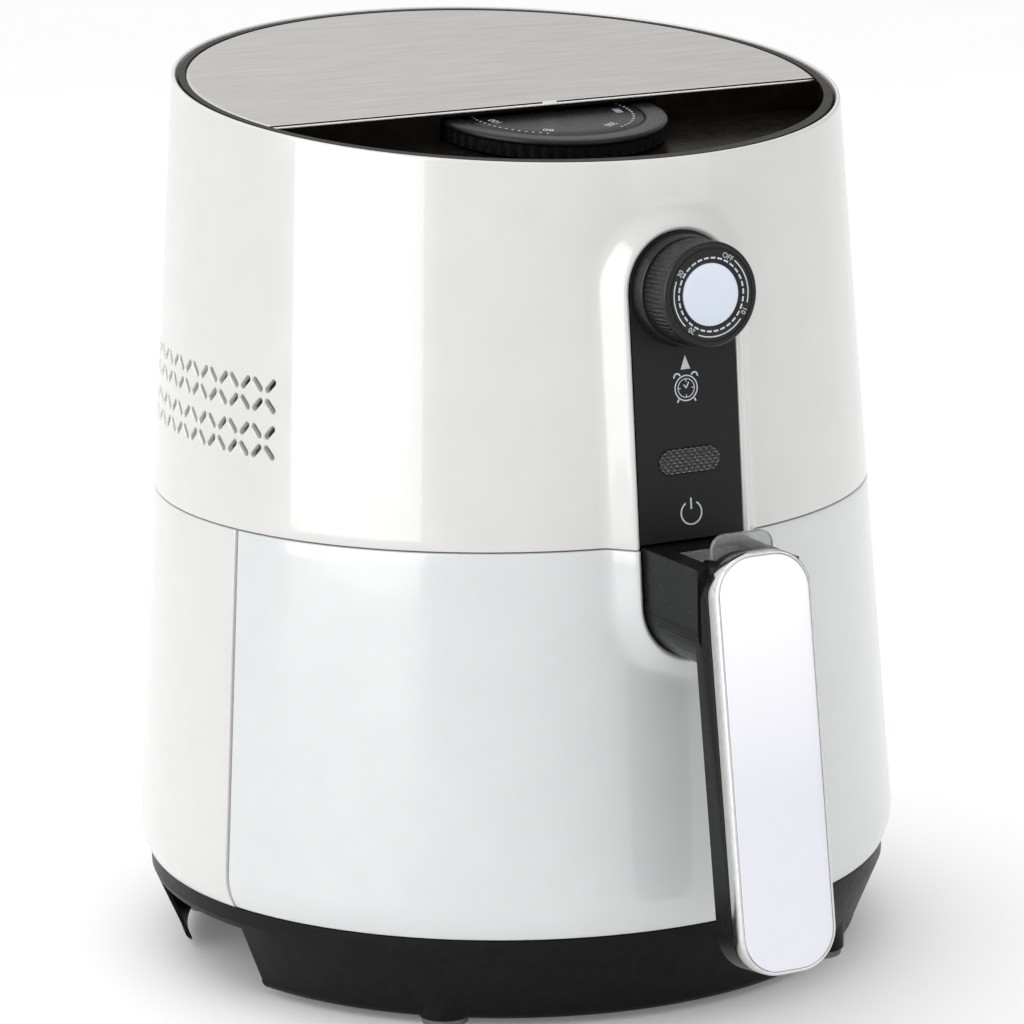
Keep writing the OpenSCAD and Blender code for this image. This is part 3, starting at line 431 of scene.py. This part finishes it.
def upperShell():
    wall = shell["wall"]
    phiB = 21.5
    farZ = 284.0
    pitch = math.degrees(vents["pitch"] / float(shellRadius(206.0)))
    ventFrom = math.degrees(vents["first"]) - pitch / 2
    ventTo = ventFrom + pitch * vents["count"]
    rearTo = 180 - math.degrees(math.asin(42 / float(shellRadius(223.0))))
    side = np.concatenate([np.linspace(phiB, ventFrom, 25), np.linspace(ventFrom, ventTo, 65)[1:],
                           np.linspace(ventTo, rearTo, 27)[1:], np.linspace(rearTo, 180, 13)[1:]])
    across = np.linspace(-phiB, phiB, 17)
    phi = np.radians(np.concatenate([-side[::-1], across[1:-1], side]))
    lowA, lowB = vents["low"]
    high = vents["rowHigh"]
    z = np.concatenate([upperLow + edgeRise,
                        np.linspace(upperLow + 0.5, lowA, 9)[1:],
                        np.linspace(lowA, lowA + 2 * high, 9)[1:], [lowB],
                        np.linspace(lowB, lowB + 2 * high, 9)[1:],
                        [228.0, 234.0, 240.0, 245.0, lipPanel["centre"]],
                        np.linspace(lipPanel["centre"], farZ, 9)[1:]])
    rowInset = np.zeros(len(z))
    rowInset[:4] = edgeCut
    # cells left out: the patch in front, the slots and the outlet
    pc = (phi[:-1] + phi[1:]) / 2
    zc = (z[:-1] + z[1:]) / 2
    keep = np.ones((len(pc), len(zc)), bool)
    keep &= ~(np.abs(np.degrees(pc)) < phiB)[:, None]
    inVent = (np.abs(np.degrees(pc)) > ventFrom) & (np.abs(np.degrees(pc)) < ventTo)
    ventRow = ((zc > lowA) & (zc < lowA + 2 * high)) | ((zc > lowB) & (zc < lowB + 2 * high))
    keep &= ~(inVent[:, None] & ventRow[None])
    rear = np.abs(np.degrees(pc)) > rearTo
    keep &= ~(rear[:, None] & ((zc > 200.0) & (zc < 245.0))[None])
    main = gridBlocks(phi, np.zeros(len(phi)), z, rowInset, keep, wall)
    body = (z <= lipPanel["centre"] + 0.01)
    patch = frontPatch(z[body], rowInset[body], lipPanel, math.radians(phiB),
                       np.radians(across[::-1]), z[z >= lipPanel["centre"] - 0.01], 1, wall)

    # band up to the slanted rim, then the rounded lip: (inset, depth under the rim plane)
    lip = [(0, 0.9), (0.05, 0.5), (0.18, 0.2), (0.4, 0.05), (0.65, 0), (0.95, 0), (1.2, 0.07),
           (1.38, 0.25), (1.47, 0.5), (1.5, 1.1)]
    k = math.tan(shell["lean"])
    g = math.tan(tilt)

    def rimHeight(angle, inset):
        c = np.cos(angle)
        return (rimZ - (bodyR + baseTop * k - inset) * c * g) / (1 - c * k * g)

    steps = np.linspace(0, 1, 9)
    angle = np.repeat(phi[:, None], len(steps) + len(lip), 1)
    ring = rimHeight(phi, 0)
    bandZ = farZ + (ring[:, None] - 0.9 - farZ) * steps
    lipZ = np.stack([rimHeight(phi, a) - b for a, b in lip], 1)
    bandIn = np.hstack([np.zeros_like(bandZ), np.tile([a for a, b in lip], (len(phi), 1))])
    outer = wallPoints(angle, np.hstack([bandZ, lipZ]), bandIn)
    innerSteps = np.linspace(0, 1, len(steps) + len(lip))
    inner = wallPoints(angle, farZ + (ring[:, None] - 2.6 - farZ) * innerSteps, wall)
    band = (outer, inner)

    # slots: the sixteen points round a cell run to the sixteen of the slot's outline
    arc = np.linspace(-math.pi / 2, math.pi / 2, 8)
    half = (vents["long"] - vents["wide"]) / 2

    def slotOutline(grow, sign):
        w = vents["wide"] / 2 + grow
        a = np.concatenate([half + w * np.cos(arc), -half - w * np.cos(arc)])
        b = np.concatenate([w * np.sin(arc), -w * np.sin(arc)])
        c = math.cos(math.pi / 4)
        return np.stack([(a - sign * b) * c, (sign * a + b) * c], -1)

    unit = np.concatenate([np.stack([np.linspace(-1, 1, 5)[:-1], -np.ones(4)], -1),
                           np.stack([np.ones(4), np.linspace(-1, 1, 5)[:-1]], -1),
                           np.stack([np.linspace(1, -1, 5)[:-1], np.ones(4)], -1),
                           np.stack([-np.ones(4), np.linspace(1, -1, 5)[:-1]], -1)])
    halfPhi = math.radians(pitch) / 2
    cellOuter, cellInner = [], []
    for sideSign in (-1, 1):
        for row in range(4):
            low = (lowA, lowA + high, lowB, lowB + high)[row]
            mid = low + high / 2
            r = float(shellRadius(mid))
            for col in range(vents["count"]):
                centre = sideSign * math.radians(ventFrom + pitch * (col + 0.5))
                sign = (1 if (row + col) % 2 == 0 else -1) * sideSign
                rings = []
                edge = np.stack([unit[:, 0] * halfPhi * r, unit[:, 1] * high / 2], -1)
                for grow in (vents["chamfer"], 0.0):
                    line = slotOutline(grow, sign)
                    turns = [np.linalg.det([o[1] - o[0], o[6] - o[0]]) for o in (edge, line)]
                    if turns[0] * turns[1] < 0:
                        line = line[::-1]
                    gaps = [np.hypot(*(np.roll(line, s, 0) - edge).T).sum() for s in range(16)]
                    rings.append(np.roll(line, int(np.argmin(gaps)), 0))
                local = np.stack([edge] + rings)
                deep = np.array([0, 0, vents["chamfer"]])[:, None] * np.ones(16)
                cellOuter.append(wallPoints(centre + local[..., 0] / r, mid + local[..., 1], deep))
                cellInner.append(wallPoints(centre + local[..., 0] / r, mid + local[..., 1], wall))
    extra = [main] + [(o, i, gridFaces(3, 16, loop=True)) for o, i in zip(cellOuter, cellInner)]
    points, faces = doubled(patch + [band], extra)
    return addPiece("upperShell", points, faces, "white", "housing", ("upper_shell",))


def drawerFront():
    wall = shell["wall"]
    phiB = 20.5
    farZ = 112.0
    low = baseTop + 0.4
    z = np.concatenate([low + edgeRise, np.linspace(low + 0.5, turnTop, 13)[1:],
                        np.linspace(turnTop, farZ, 14)[1:],
                        np.linspace(farZ, lipNeck["centre"], 9)[1:],
                        np.linspace(lipNeck["centre"], drawerTop - 0.5, 5)[1:],
                        drawerTop - edgeRise[2::-1]])
    rowInset = np.zeros(len(z))
    rowInset[:4] = edgeCut
    rowInset[-3:] = edgeCut[2::-1]
    side = np.concatenate([np.linspace(phiB, frontHalf - edgeTurn[3], 28), frontHalf - edgeTurn[2::-1]])
    colInset = np.zeros(len(side))
    colInset[-3:] = edgeCut[2::-1]
    across = np.linspace(-phiB, phiB, 17)
    phi = np.radians(np.concatenate([-side[::-1], across[1:-1], side]))
    colInset = np.concatenate([colInset[::-1], np.zeros(15), colInset])
    pc = (phi[:-1] + phi[1:]) / 2
    zc = (z[:-1] + z[1:]) / 2
    keep = ~((np.abs(np.degrees(pc)) < phiB)[:, None] & (zc > farZ)[None])
    main = gridBlocks(phi, colInset, z, rowInset, keep, wall)
    body = z >= lipNeck["centre"] - 0.01
    below = z[(z <= lipNeck["centre"] + 0.01) & (z >= farZ - 0.01)][::-1]
    patch = frontPatch(z[body], rowInset[body], lipNeck, math.radians(phiB),
                       np.radians(across[::-1]), below, -1, wall)
    points, faces = doubled(patch, [main])
    return addPiece("drawerFront", points, faces, "front", "drawer", ("drawer_front",))


def lowerShell():
    wall = shell["wall"]
    sideGap = 1.5
    start = frontHalf + math.degrees(sideGap / float(shellRadius(drawerTop)))
    phi = np.radians(np.concatenate([start + edgeTurn,
                                     np.linspace(start + edgeTurn[3], 360 - start - edgeTurn[3], 140)[1:],
                                     360 - start - edgeTurn[2::-1]]))
    colInset = np.zeros(len(phi))
    colInset[:4] = edgeCut
    colInset[-3:] = edgeCut[2::-1]
    z = np.concatenate([baseTop + edgeRise, np.linspace(baseTop + 0.5, turnTop, 13)[1:],
                        np.linspace(turnTop, drawerTop - 0.5, 22)[1:], drawerTop - edgeRise[2::-1]])
    rowInset = np.zeros(len(z))
    rowInset[:4] = edgeCut
    rowInset[-3:] = edgeCut[2::-1]
    keep = np.ones((len(phi) - 1, len(z) - 1), bool)
    main = gridBlocks(phi, colInset, z, rowInset, keep, wall)
    points, faces = doubled([], [main])
    return addPiece("lowerShell", points, faces, "white", "housing", ("lower_shell",))


upperShell()
drawerFront()
lowerShell()
print("shells built")

# ---- steel plate ----

plateSize = dict(radius=111.4, chord=34.1, top=0.3, thick=1.2, bevel=0.9, drop=0.55, points=240)


def plateOutline(inset):
    # circle of radius R cut by a chord at y = -c, both drawn in by inset
    r = plateSize["radius"] - inset
    c = plateSize["chord"] - inset
    a = math.asin(c / r)
    arc = np.linspace(-a, math.pi + a, plateSize["points"])
    line = np.linspace(-r * math.cos(a), r * math.cos(a), 60)[1:-1]
    return np.concatenate([np.stack([r * np.cos(arc), r * np.sin(arc)], -1),
                           np.stack([line, np.full(len(line), -c)], -1)])


def topPlate():
    p = plateSize
    levels = [(0.0, p["top"] + p["thick"]), (0.0, p["top"] + p["drop"]), (0.12, p["top"] + p["drop"] * 0.7),
              (p["bevel"] * 0.85, p["top"] + 0.06), (p["bevel"], p["top"]), (p["bevel"] + 0.2, p["top"]),
              (p["bevel"] + 4, p["top"])]
    rings = [place(rimBase, *plateOutline(i).T, -d) for i, d in levels]
    points, faces = stacked(rings)
    return addPiece("topPlate", points, faces, "steel", "housing", ("top_plate",), 50)


topPlate()

# ---- timer knob ----

knobSize = dict(base=19.0, top=17.8, groove=17.35, skirt=5.3, height=19.5, ribs=72, rib=0.35, disc=10.45,
                bore=3.1)


def timerKnob():
    # r(theta, z): the ribs are a raised cosine in theta over the grip
    k = knobSize
    theta = np.linspace(0, 2 * math.pi, k["ribs"] * 6, endpoint=False)
    wave = np.maximum(np.cos(k["ribs"] * theta), -0.3)
    h = k["height"]
    profile = np.array([
        (k["bore"], 0.3, 0), (k["base"] - 0.3, 0.3, 0), (k["base"], 0.6, 0), (k["base"] - 0.25, 2.0, 0),
        (k["top"] + 0.35, k["skirt"] - 0.4, 0), (k["top"] + 0.1, k["skirt"] - 0.05, 0),
        (k["groove"], k["skirt"], 0.3), (k["groove"], k["skirt"] + 0.5, 1), (k["groove"], 10.0, 1),
        (k["groove"], h - 3.2, 1), (k["groove"] + 0.05, h - 2.4, 0.5), (k["groove"] + 0.1, h - 2.1, 0),
        (k["top"] - 0.25, h - 1.2, 0), (k["top"] - 0.45, h - 0.6, 0), (k["top"] - 0.9, h - 0.15, 0),
        (k["top"] - 1.4, h, 0), (k["top"] - 2.2, h, 0), (k["top"] - 2.35, h - 0.3, 0),
        (k["top"] - 2.75, h - 0.3, 0), (k["top"] - 2.9, h, 0), (k["disc"] + 0.5, h, 0),
        (k["disc"] + 0.15, h - 0.25, 0), (k["disc"] + 0.1, h - 1.2, 0), (k["bore"], h - 1.2, 0)])
    r = profile[:, 0][:, None] + profile[:, 2][:, None] * k["rib"] * wave
    rings = place(panelBase, r * np.sin(theta), r * np.cos(theta), profile[:, 1][:, None])
    points, faces = stacked(rings)
    knob = addPiece("timerKnob", points, faces, "knob", "timer_knob", ("timer_knob",), 40)
    r = np.array([k["disc"], k["disc"], k["disc"] - 0.15, k["disc"] - 0.5, 6.0, 3.0])
    up = np.array([h - 1.2, h - 0.35, h - 0.15, h - 0.1, h - 0.14, h - 0.16])
    theta = np.linspace(0, 2 * math.pi, 120, endpoint=False)
    rings = place(panelBase, r[:, None] * np.sin(theta), r[:, None] * np.cos(theta), up[:, None])
    points, faces = stacked(rings)
    addPiece("knobDisc", points, faces, "disc", "timer_knob", ("knob_cap",), 50)
    return knob


timerKnob()

# ---- temperature dial ----

dialSize = dict(y=-35.0, low=10.9, radius=40.5, high=7.1, face=32.0, ridges=60, ridge=0.45, bore=3.1)


def temperatureDial():
    s = dialSize
    theta = np.linspace(0, 2 * math.pi, s["ridges"] * 8, endpoint=False)
    wave = np.maximum(np.cos(s["ridges"] * theta), -0.2)
    h = s["high"]
    profile = np.array([
        (s["bore"], 0, 0), (s["radius"] - 1.4, 0, 0), (s["radius"] - 1.1, 0.3, 0.6),
        (s["radius"] - 1.0, h * 0.5, 1), (s["radius"] - 1.0, h - 2.3, 1),
        (s["radius"] - 0.35, h - 2.0, 0), (s["radius"], h - 1.6, 0),
        (s["radius"], h - 0.9, 0), (s["radius"] - 0.3, h - 0.35, 0), (s["radius"] - 1.0, h - 0.05, 0),
        (s["radius"] - 2.0, h, 0), (s["face"] + 2.2, h, 0), (s["face"] + 1.1, h - 0.12, 0),
        (s["face"] + 0.45, h - 0.6, 0), (s["face"] + 0.2, h - 1.2, 0), (s["bore"], h - 1.2, 0)])
    r = profile[:, 0][:, None] + profile[:, 2][:, None] * s["ridge"] * wave
    rings = place(rimBase, r * np.sin(theta), s["y"] + r * np.cos(theta), profile[:, 1][:, None] - s["low"])
    points, faces = stacked(rings)
    addPiece("temperatureDial", points, faces, "dial", "temperature_dial", ("temperature_dial",),
             40)
    r = np.array([s["face"], s["face"], s["face"] - 0.3, 25.0, 15.0, 5.0])
    up = np.array([h - 1.2, h - 0.7, h - 0.5, h - 0.42, h - 0.40, h - 0.40])
    theta = np.linspace(0, 2 * math.pi, 180, endpoint=False)
    rings = place(rimBase, r[:, None] * np.sin(theta), s["y"] + r[:, None] * np.cos(theta),
                  up[:, None] - s["low"])
    points, faces = stacked(rings)
    addPiece("dialFace", points, faces, "dial", "temperature_dial", ("dial_face",), 50)


temperatureDial()
print("knobs built")

# ---- handle front ----

gripSize = dict(wide=36.2, long=140.0, corner=14.0, bezel=6.0, border=1.3, pad=3.0, proud=0.4)


def gripOutline(inset):
    # four quarter circles joined by straight sides
    g = gripSize
    r = max(g["corner"] - inset, 0.5)
    w, h = g["wide"] / 2 - inset - r, g["long"] / 2 - inset - r
    parts = []
    for k, (sx, sy) in enumerate(((1, 1), (-1, 1), (-1, -1), (1, -1))):
        a = np.linspace(k * math.pi / 2, (k + 1) * math.pi / 2, 17)
        parts.append(np.stack([sx * w + r * np.cos(a), sy * h + r * np.sin(a)], -1))
        nxt = ((-1, 1), (-1, -1), (1, -1), (1, 1))[k]
        end = np.array([nxt[0] * w, nxt[1] * h]) + r * np.array([math.cos(a[-1]), math.sin(a[-1])])
        parts.append(parts[-1][-1] + (end - parts[-1][-1]) * np.linspace(0, 1, 14)[1:-1, None])
    return np.concatenate(parts)


def handleFront():
    g = gripSize
    half = g["bezel"] / 2
    b = g["border"]
    section = [(b + 0.02, -half), (0.5, -half), (0.12, -half + 0.15), (0, -half + 0.5), (0, half - 1.6),
               (0.1, half - 1.0), (0.28, half - 0.45), (0.5, half - 0.15), (0.75, half), (b - 0.28, half),
               (b - 0.08, half - 0.08), (b, half - 0.3), (b + 0.02, half - g["pad"])]
    rings = np.array([place(gripBase, *gripOutline(i).T, z) for i, z in section])
    rings = np.concatenate([rings, rings[:1]])
    faces = gridFaces(rings.shape[0], rings.shape[1], loop=True)
    addPiece("handleBezel", rings, faces, "bezel", "drawer", ("handle_bezel",), 40)
    top = half + g["proud"]
    # crowned: the height falls off as the square of the distance to the edge
    crown = [(b + 0.12, half - g["pad"]), (b + 0.12, half - 0.15), (b + 0.25, half + 0.02),
             (b + 0.7, half + 0.12), (b + 2, top - 0.16), (b + 4, top - 0.08), (b + 7, top - 0.03),
             (b + 10, top)]
    rings = [place(gripBase, *gripOutline(i).T, z) for i, z in crown]
    points, faces = stacked(rings)
    addPiece("handlePad", points, faces, "pad", "drawer", ("handle_pad",), 50)


handleFront()

# ---- lens with diamond facets ----

lensSize = dict(wide=23.0, high=8.3, drop=57.0, back=-2.0, proud=0.6, rim=0.9, facet=1.5, deep=0.28)


def lensCover():
    s = lensSize
    w, r = (s["wide"] - s["high"]) / 2, s["high"] / 2

    def outline(inset):
        a = np.linspace(-math.pi / 2, math.pi / 2, 25)
        q = r - inset
        right = np.stack([w + q * np.cos(a), q * np.sin(a)], -1)
        top = np.stack([np.linspace(w, -w, 32)[1:-1], np.full(30, q)], -1)
        return np.concatenate([right, top, -right, -top])

    rings = [(0, s["back"]), (0, s["proud"] - 0.25), (0.08, s["proud"] - 0.08), (0.3, s["proud"]),
             (s["rim"] - 0.2, s["proud"]), (s["rim"], s["proud"] - 0.2)]
    stack = [np.column_stack([outline(i), np.full(len(outline(i)), z)]) for i, z in rings]
    # facets: the height falls with the sum of two triangle waves along the diagonals
    edge = outline(s["rim"])
    for k in np.linspace(1, 0, 16)[1:-1]:
        p = edge * k
        u = (p[:, 0] + p[:, 1]) / s["facet"]
        v = (p[:, 0] - p[:, 1]) / s["facet"]
        wave = np.abs(u % 1 - 0.5) + np.abs(v % 1 - 0.5)
        stack.append(np.column_stack([p, s["proud"] - 0.2 - s["deep"] * wave]))
    rings = [place(panelBase, p[:, 0], p[:, 1] - s["drop"], p[:, 2]) for p in stack]
    points, faces = stacked(rings)
    return addPiece("lensCover", points, faces, "lens", "housing", ("indicator_lens",), 20)


lensCover()

# ---- prints ----


def ribbon(base, path, width, low, high, closed=False):
    # a rectangle of width x (high - low) carried along a flat path
    path = np.asarray(path, float)
    ahead = np.roll(path, -1, 0) - path if closed else np.gradient(path, axis=0)
    if closed:
        ahead = ahead + path - np.roll(path, 1, 0)
    ahead /= np.linalg.norm(ahead, axis=1, keepdims=True)
    side = np.stack([-ahead[:, 1], ahead[:, 0]], -1) * width / 2
    left, right = path + side, path - side
    section = np.stack([place(base, *left.T, low), place(base, *left.T, high),
                        place(base, *right.T, high), place(base, *right.T, low)], 1)
    if closed:
        section = np.concatenate([section, section[:1]])
        return section, gridFaces(len(section), 4, loop=True)
    return stacked(section)


def arcPath(cx, cy, r, start, end, n=40, squash=1.0):
    a = np.radians(np.linspace(start, end, n))
    return np.stack([cx + r * np.cos(a), cy + r * squash * np.sin(a)], -1)


def heightOnPanel(z):
    return (z - panelBase[0][2]) / math.cos(shell["lean"])


markHeights = dict(wedgeTop=230.3, wedgeFoot=225.6, clock=219.3, power=177.5)


def panelPrints():
    low, high = -0.02, 0.05
    lines = []
    top, foot = heightOnPanel(markHeights["wedgeTop"]), heightOnPanel(markHeights["wedgeFoot"])
    rows = np.linspace(0, 1, 8)
    wide = 1.8 * rows
    wedge = np.stack([place(panelBase, np.array([-w, w, w, -w]), top + (foot - top) * t,
                            np.array([low, low, high, high])) for w, t in zip(wide, rows)])
    lines.append(stacked(wedge))
    cy = heightOnPanel(markHeights["clock"])
    full = arcPath(0, cy, 4.2, 0, 360, 49)[:-1]
    lines.append(ribbon(panelBase, full, 0.42, low, high, closed=True))
    lines.append(ribbon(panelBase, arcPath(0, cy, 3.1, 0, 360, 41)[:-1], 0.28, low, high, closed=True))
    for a in (0, 90, 180, 270):
        c, s = math.cos(math.radians(a)), math.sin(math.radians(a))
        lines.append(ribbon(panelBase, [(2.1 * c, cy + 2.1 * s), (2.9 * c, cy + 2.9 * s)], 0.3, low, high))
    for a, r in ((128, 1.5), (62, 2.2)):
        c, s = math.cos(math.radians(a)), math.sin(math.radians(a))
        lines.append(ribbon(panelBase, [(0, cy), (r * c, cy + r * s)], 0.42, low, high))
    for side in (-1, 1):
        bell = arcPath(side * 3.3, cy + 3.9, 1.15, 90 - side * 105, 90 + side * 75, 16)
        lines.append(ribbon(panelBase, bell, 0.55, low, high))
        lines.append(ribbon(panelBase, [(side * 2.9, cy - 3.6), (side * 3.5, cy - 4.6)], 0.55, low, high))
    py = heightOnPanel(markHeights["power"])
    lines.append(ribbon(panelBase, arcPath(0, py, 3.9, 122, 418, 60), 0.55, low, high))
    lines.append(ribbon(panelBase, [(0, py + 1.2), (0, py + 5.0)], 0.6, low, high))
    points, faces = joined(lines)
    return addPiece("panelPrints", points, faces, "print", "housing", ())


def wordMesh(text, size):
    # a line of the built-in font as points and faces, thin and flat
    curve = bpy.data.curves.new("word", "FONT")
    curve.body = text
    curve.size = size
    curve.align_x = "CENTER"
    curve.align_y = "CENTER"
    curve.extrude = 0.035
    curve.resolution_u = 4
    holder = bpy.data.objects.new("word", curve)
    bpy.context.scene.collection.objects.link(holder)
    bpy.context.view_layer.update()
    mesh = bpy.data.meshes.new_from_object(holder.evaluated_get(bpy.context.evaluated_depsgraph_get()))
    work = bmesh.new()
    work.from_mesh(mesh)
    bmesh.ops.remove_doubles(work, verts=work.verts, dist=1e-4)
    bmesh.ops.triangulate(work, faces=work.faces)
    points = np.array([v.co for v in work.verts])
    faces = np.array([[v.index for v in f.verts] for f in work.faces])
    work.free()
    bpy.data.objects.remove(holder)
    return points, faces


def spun(points, turn, radius):
    # turned clockwise by turn and moved out to the radius
    c, s = math.cos(turn), math.sin(turn)
    x = points[:, 0] * c + (points[:, 1] + radius) * s
    y = -points[:, 0] * s + (points[:, 1] + radius) * c
    return x, y, points[:, 2]


def knobPrints():
    h = knobSize["height"]
    parts, quads = [], []
    for text, turn in (("OFF", 30), ("10", 118), ("20", 215), ("30", 305)):
        points, faces = wordMesh(text, 2.5)
        x, y, z = spun(points, math.radians(turn), 13.6)
        parts.append((place(panelBase, x, y, z + h), faces))
    points, faces = joined(parts)
    addPiece("knobNumbers", points, faces, "print", "timer_knob", ())
    low, high = h - 0.03, h + 0.05
    for start, end in ((42, 106), (130, 203), (227, 293)):
        quads.append(ribbon(panelBase, arcPath(0, 0, 13.9, 90 - start, 90 - end, 40), 0.42, low, high))
    for k in range(30):
        quads.append(ribbon(panelBase, arcPath(0, 0, 12.1, k * 12 - 4.2, k * 12 + 4.2, 6), 0.6, low, high))
    points, faces = joined(quads)
    addPiece("knobMarks", points, faces, "print", "timer_knob", ())


def dialPrints():
    s = dialSize
    high = s["high"] - s["low"]
    flat = (rimBase[0] + rimBase[1] * s["y"], rimBase[1], rimBase[2])
    quads, parts = [], []
    for k in range(61):
        a = math.radians(-150 + k * 5)
        c, q = math.cos(a), math.sin(a)
        dash = [(28.2 * q, 28.2 * c), (29.0 * q, 29.0 * c)]
        quads.append(ribbon(flat, dash, 0.7, high - 0.44, high - 0.38))
    points, faces = joined(quads)
    addPiece("dialMarks", points, faces, "print", "temperature_dial", ())
    for k, text in enumerate(("80", "100", "120", "140", "160", "180", "200")):
        points, faces = wordMesh(text, 4.0)
        x, y, z = spun(points, math.radians(-150 + k * 50), 24.0)
        parts.append((place(flat, x, y, z + high - 0.41), faces))
    points, faces = joined(parts)
    addPiece("dialNumbers", points, faces, "print", "temperature_dial", ())


panelPrints()
knobPrints()
dialPrints()
print("prints built")

# ---- the other parts, copied and given their finish ----

bodyOf = {n: b for b, ns in frame["record"]["behaviour"]["bodies"].items() for n in ns}
finishes = {
    "base_tray": ("baseTray", "base", 0.3), "feet": ("feet", "foot", 0.3),
    "cavity_liner": ("cavityLiner", "sheet", 0), "chassis_plate": ("chassisPlate", "sheet", 0),
    "chamber_liner": ("chamberLiner", "sheet", 0), "element_guard": ("elementGuard", "wire", 0),
    "heater_coil": ("heaterCoil", "sheath", 0), "heat_shield": ("heatShield", "sheet", 0),
    "motor_bracket": ("motorBracket", "sheet", 0), "motor": ("fanMotor", "motor", 0.4),
    "top_deck": ("topDeck", "deck", 0.3), "thermostat": ("thermostat", "ceramic", 0.3),
    "control_panel": ("controlPanel", "panel", 0.2), "timer_body": ("timerBody", "timer", 0.3),
    "indicator_lamp": ("indicatorLamp", "lamp", 0.2), "exhaust_grille": ("exhaustGrille", "base", 0.2),
    "cord_gland": ("cordGland", "rubber", 0.4), "terminal_block": ("terminalBlock", "ceramic", 0.3),
    "drawer_switch": ("drawerSwitch", "base", 0.3), "drawer_guides": ("drawerGuides", "sheet", 0.3),
    "housing_screws": ("housingScrews", "screw", 0), "pan": ("pan", "coating", 0.3),
    "drawer_liner": ("drawerLiner", "liner", 0), "pan_screws": ("panScrews", "screw", 0),
    "basket": ("basket", "basketCoat", 0), "basket_bracket": ("basketBracket", "bracket", 0.2),
    "handle_body": ("handleBody", "handle", 0.6), "handle_screws": ("handleScrews", "screw", 0),
    "latch_pin": ("latchPin", "screw", 0), "release_button": ("releaseButton", "button", 0.4),
    "release_latch": ("releaseLatch", "bracket", 0.2), "button_cover": ("buttonCover", "cover", 0.3),
    "timer_shaft": ("timerShaft", "screw", 0), "dial_shaft": ("dialShaft", "screw", 0),
    "impeller": ("impeller", "fanMetal", 0), "cooling_fan": ("coolingFan", "fanPlastic", 0),
    "motor_shaft": ("motorShaft", "screw", 0),
}
for node, (name, finish, bevel) in finishes.items():
    copyOf(node, name, finish, bodyOf[node], bevel)
spring = frame["nodes"]["button_spring"]
spring.data.materials.clear()
spring.data.materials.append(look["spring"])
print("copies built")

# ---- floor, light and camera ----


def floorPlane():
    size = 6.0
    mesh = bpy.data.meshes.new("floor")
    points = [(-size, -size, 0), (size, -size, 0), (size, size, 0), (-size, size, 0)]
    mesh.from_pydata(points, [], [(0, 1, 2, 3)])
    mesh.materials.append(nodeMaterial("floorPale", (0.92, 0.94), (0.6, 0.7), 4, Emission_Color=(1, 1, 1, 1),
                                        Emission_Strength=0.12))
    floor = bpy.data.objects.new("floor", mesh)
    bpy.context.scene.collection.objects.link(floor)


def areaLight(name, where, target, size, power, tone=(1, 1, 1)):
    light = bpy.data.lights.new(name, "AREA")
    light.shape = "RECTANGLE"
    light.size, light.size_y = size
    light.energy = power
    light.color = tone
    obj = bpy.data.objects.new(name, light)
    bpy.context.scene.collection.objects.link(obj)
    obj.location = where
    obj.rotation_euler = (Vector(target) - Vector(where)).to_track_quat("-Z", "Y").to_euler()
    return obj


floorPlane()
band = areaLight("softbox", (-1.25, -0.30, 0.62), (0, 0, 0.2), (1.2, 1.7), 24)
band.visible_diffuse = False
front = areaLight("frontCard", (0.72, -1.43, 0.62), (0, -0.15, 0.15), (0.9, 0.9), 2.4)
front.visible_diffuse = False
areaLight("overhead", (0.0, 0.3, 2.2), (0, 0, 0.2), (2.4, 2.0), 12)

world = bpy.data.worlds.new("studio")
bpy.context.scene.world = world
world.use_nodes = True
sky = world.node_tree
sky.nodes["Background"].inputs["Strength"].default_value = 1.0
gaze = sky.nodes.new("ShaderNodeTexCoord")
side = sky.nodes.new("ShaderNodeVectorMath")
side.operation = "DOT_PRODUCT"
side.inputs[1].default_value = (1.0, 0.0, 0.0)
shade = sky.nodes.new("ShaderNodeMapRange")
shade.interpolation_type = "SMOOTHSTEP"
shade.inputs["From Min"].default_value = -0.3
shade.inputs["From Max"].default_value = 0.9
shade.inputs["To Min"].default_value = 1.06
shade.inputs["To Max"].default_value = 0.52
sky.links.new(gaze.outputs["Generated"], side.inputs[0])
sky.links.new(side.outputs["Value"], shade.inputs["Value"])
sky.links.new(shade.outputs["Result"], sky.nodes["Background"].inputs["Color"])

camera = bpy.data.objects.new("camera", bpy.data.cameras.new("camera"))
bpy.context.scene.collection.objects.link(camera)
camera.data.lens = 171.803
camera.data.sensor_width = 36
camera.data.clip_end = 20
right = Vector((0.88655637, -0.46237702, -0.01500946))
up = Vector((0.11646366, 0.19167153, 0.97452462))
back = Vector((-0.44772091, -0.86571907, 0.22377774))
camera.matrix_world = Matrix((
    (right.x, up.x, back.x, -0.78152), (right.y, up.y, back.y, -1.51171), (right.z, up.z, back.z, 0.54270),
    (0, 0, 0, 1)))
bpy.context.scene.camera = camera
bpy.context.scene.view_settings.view_transform = "Standard"
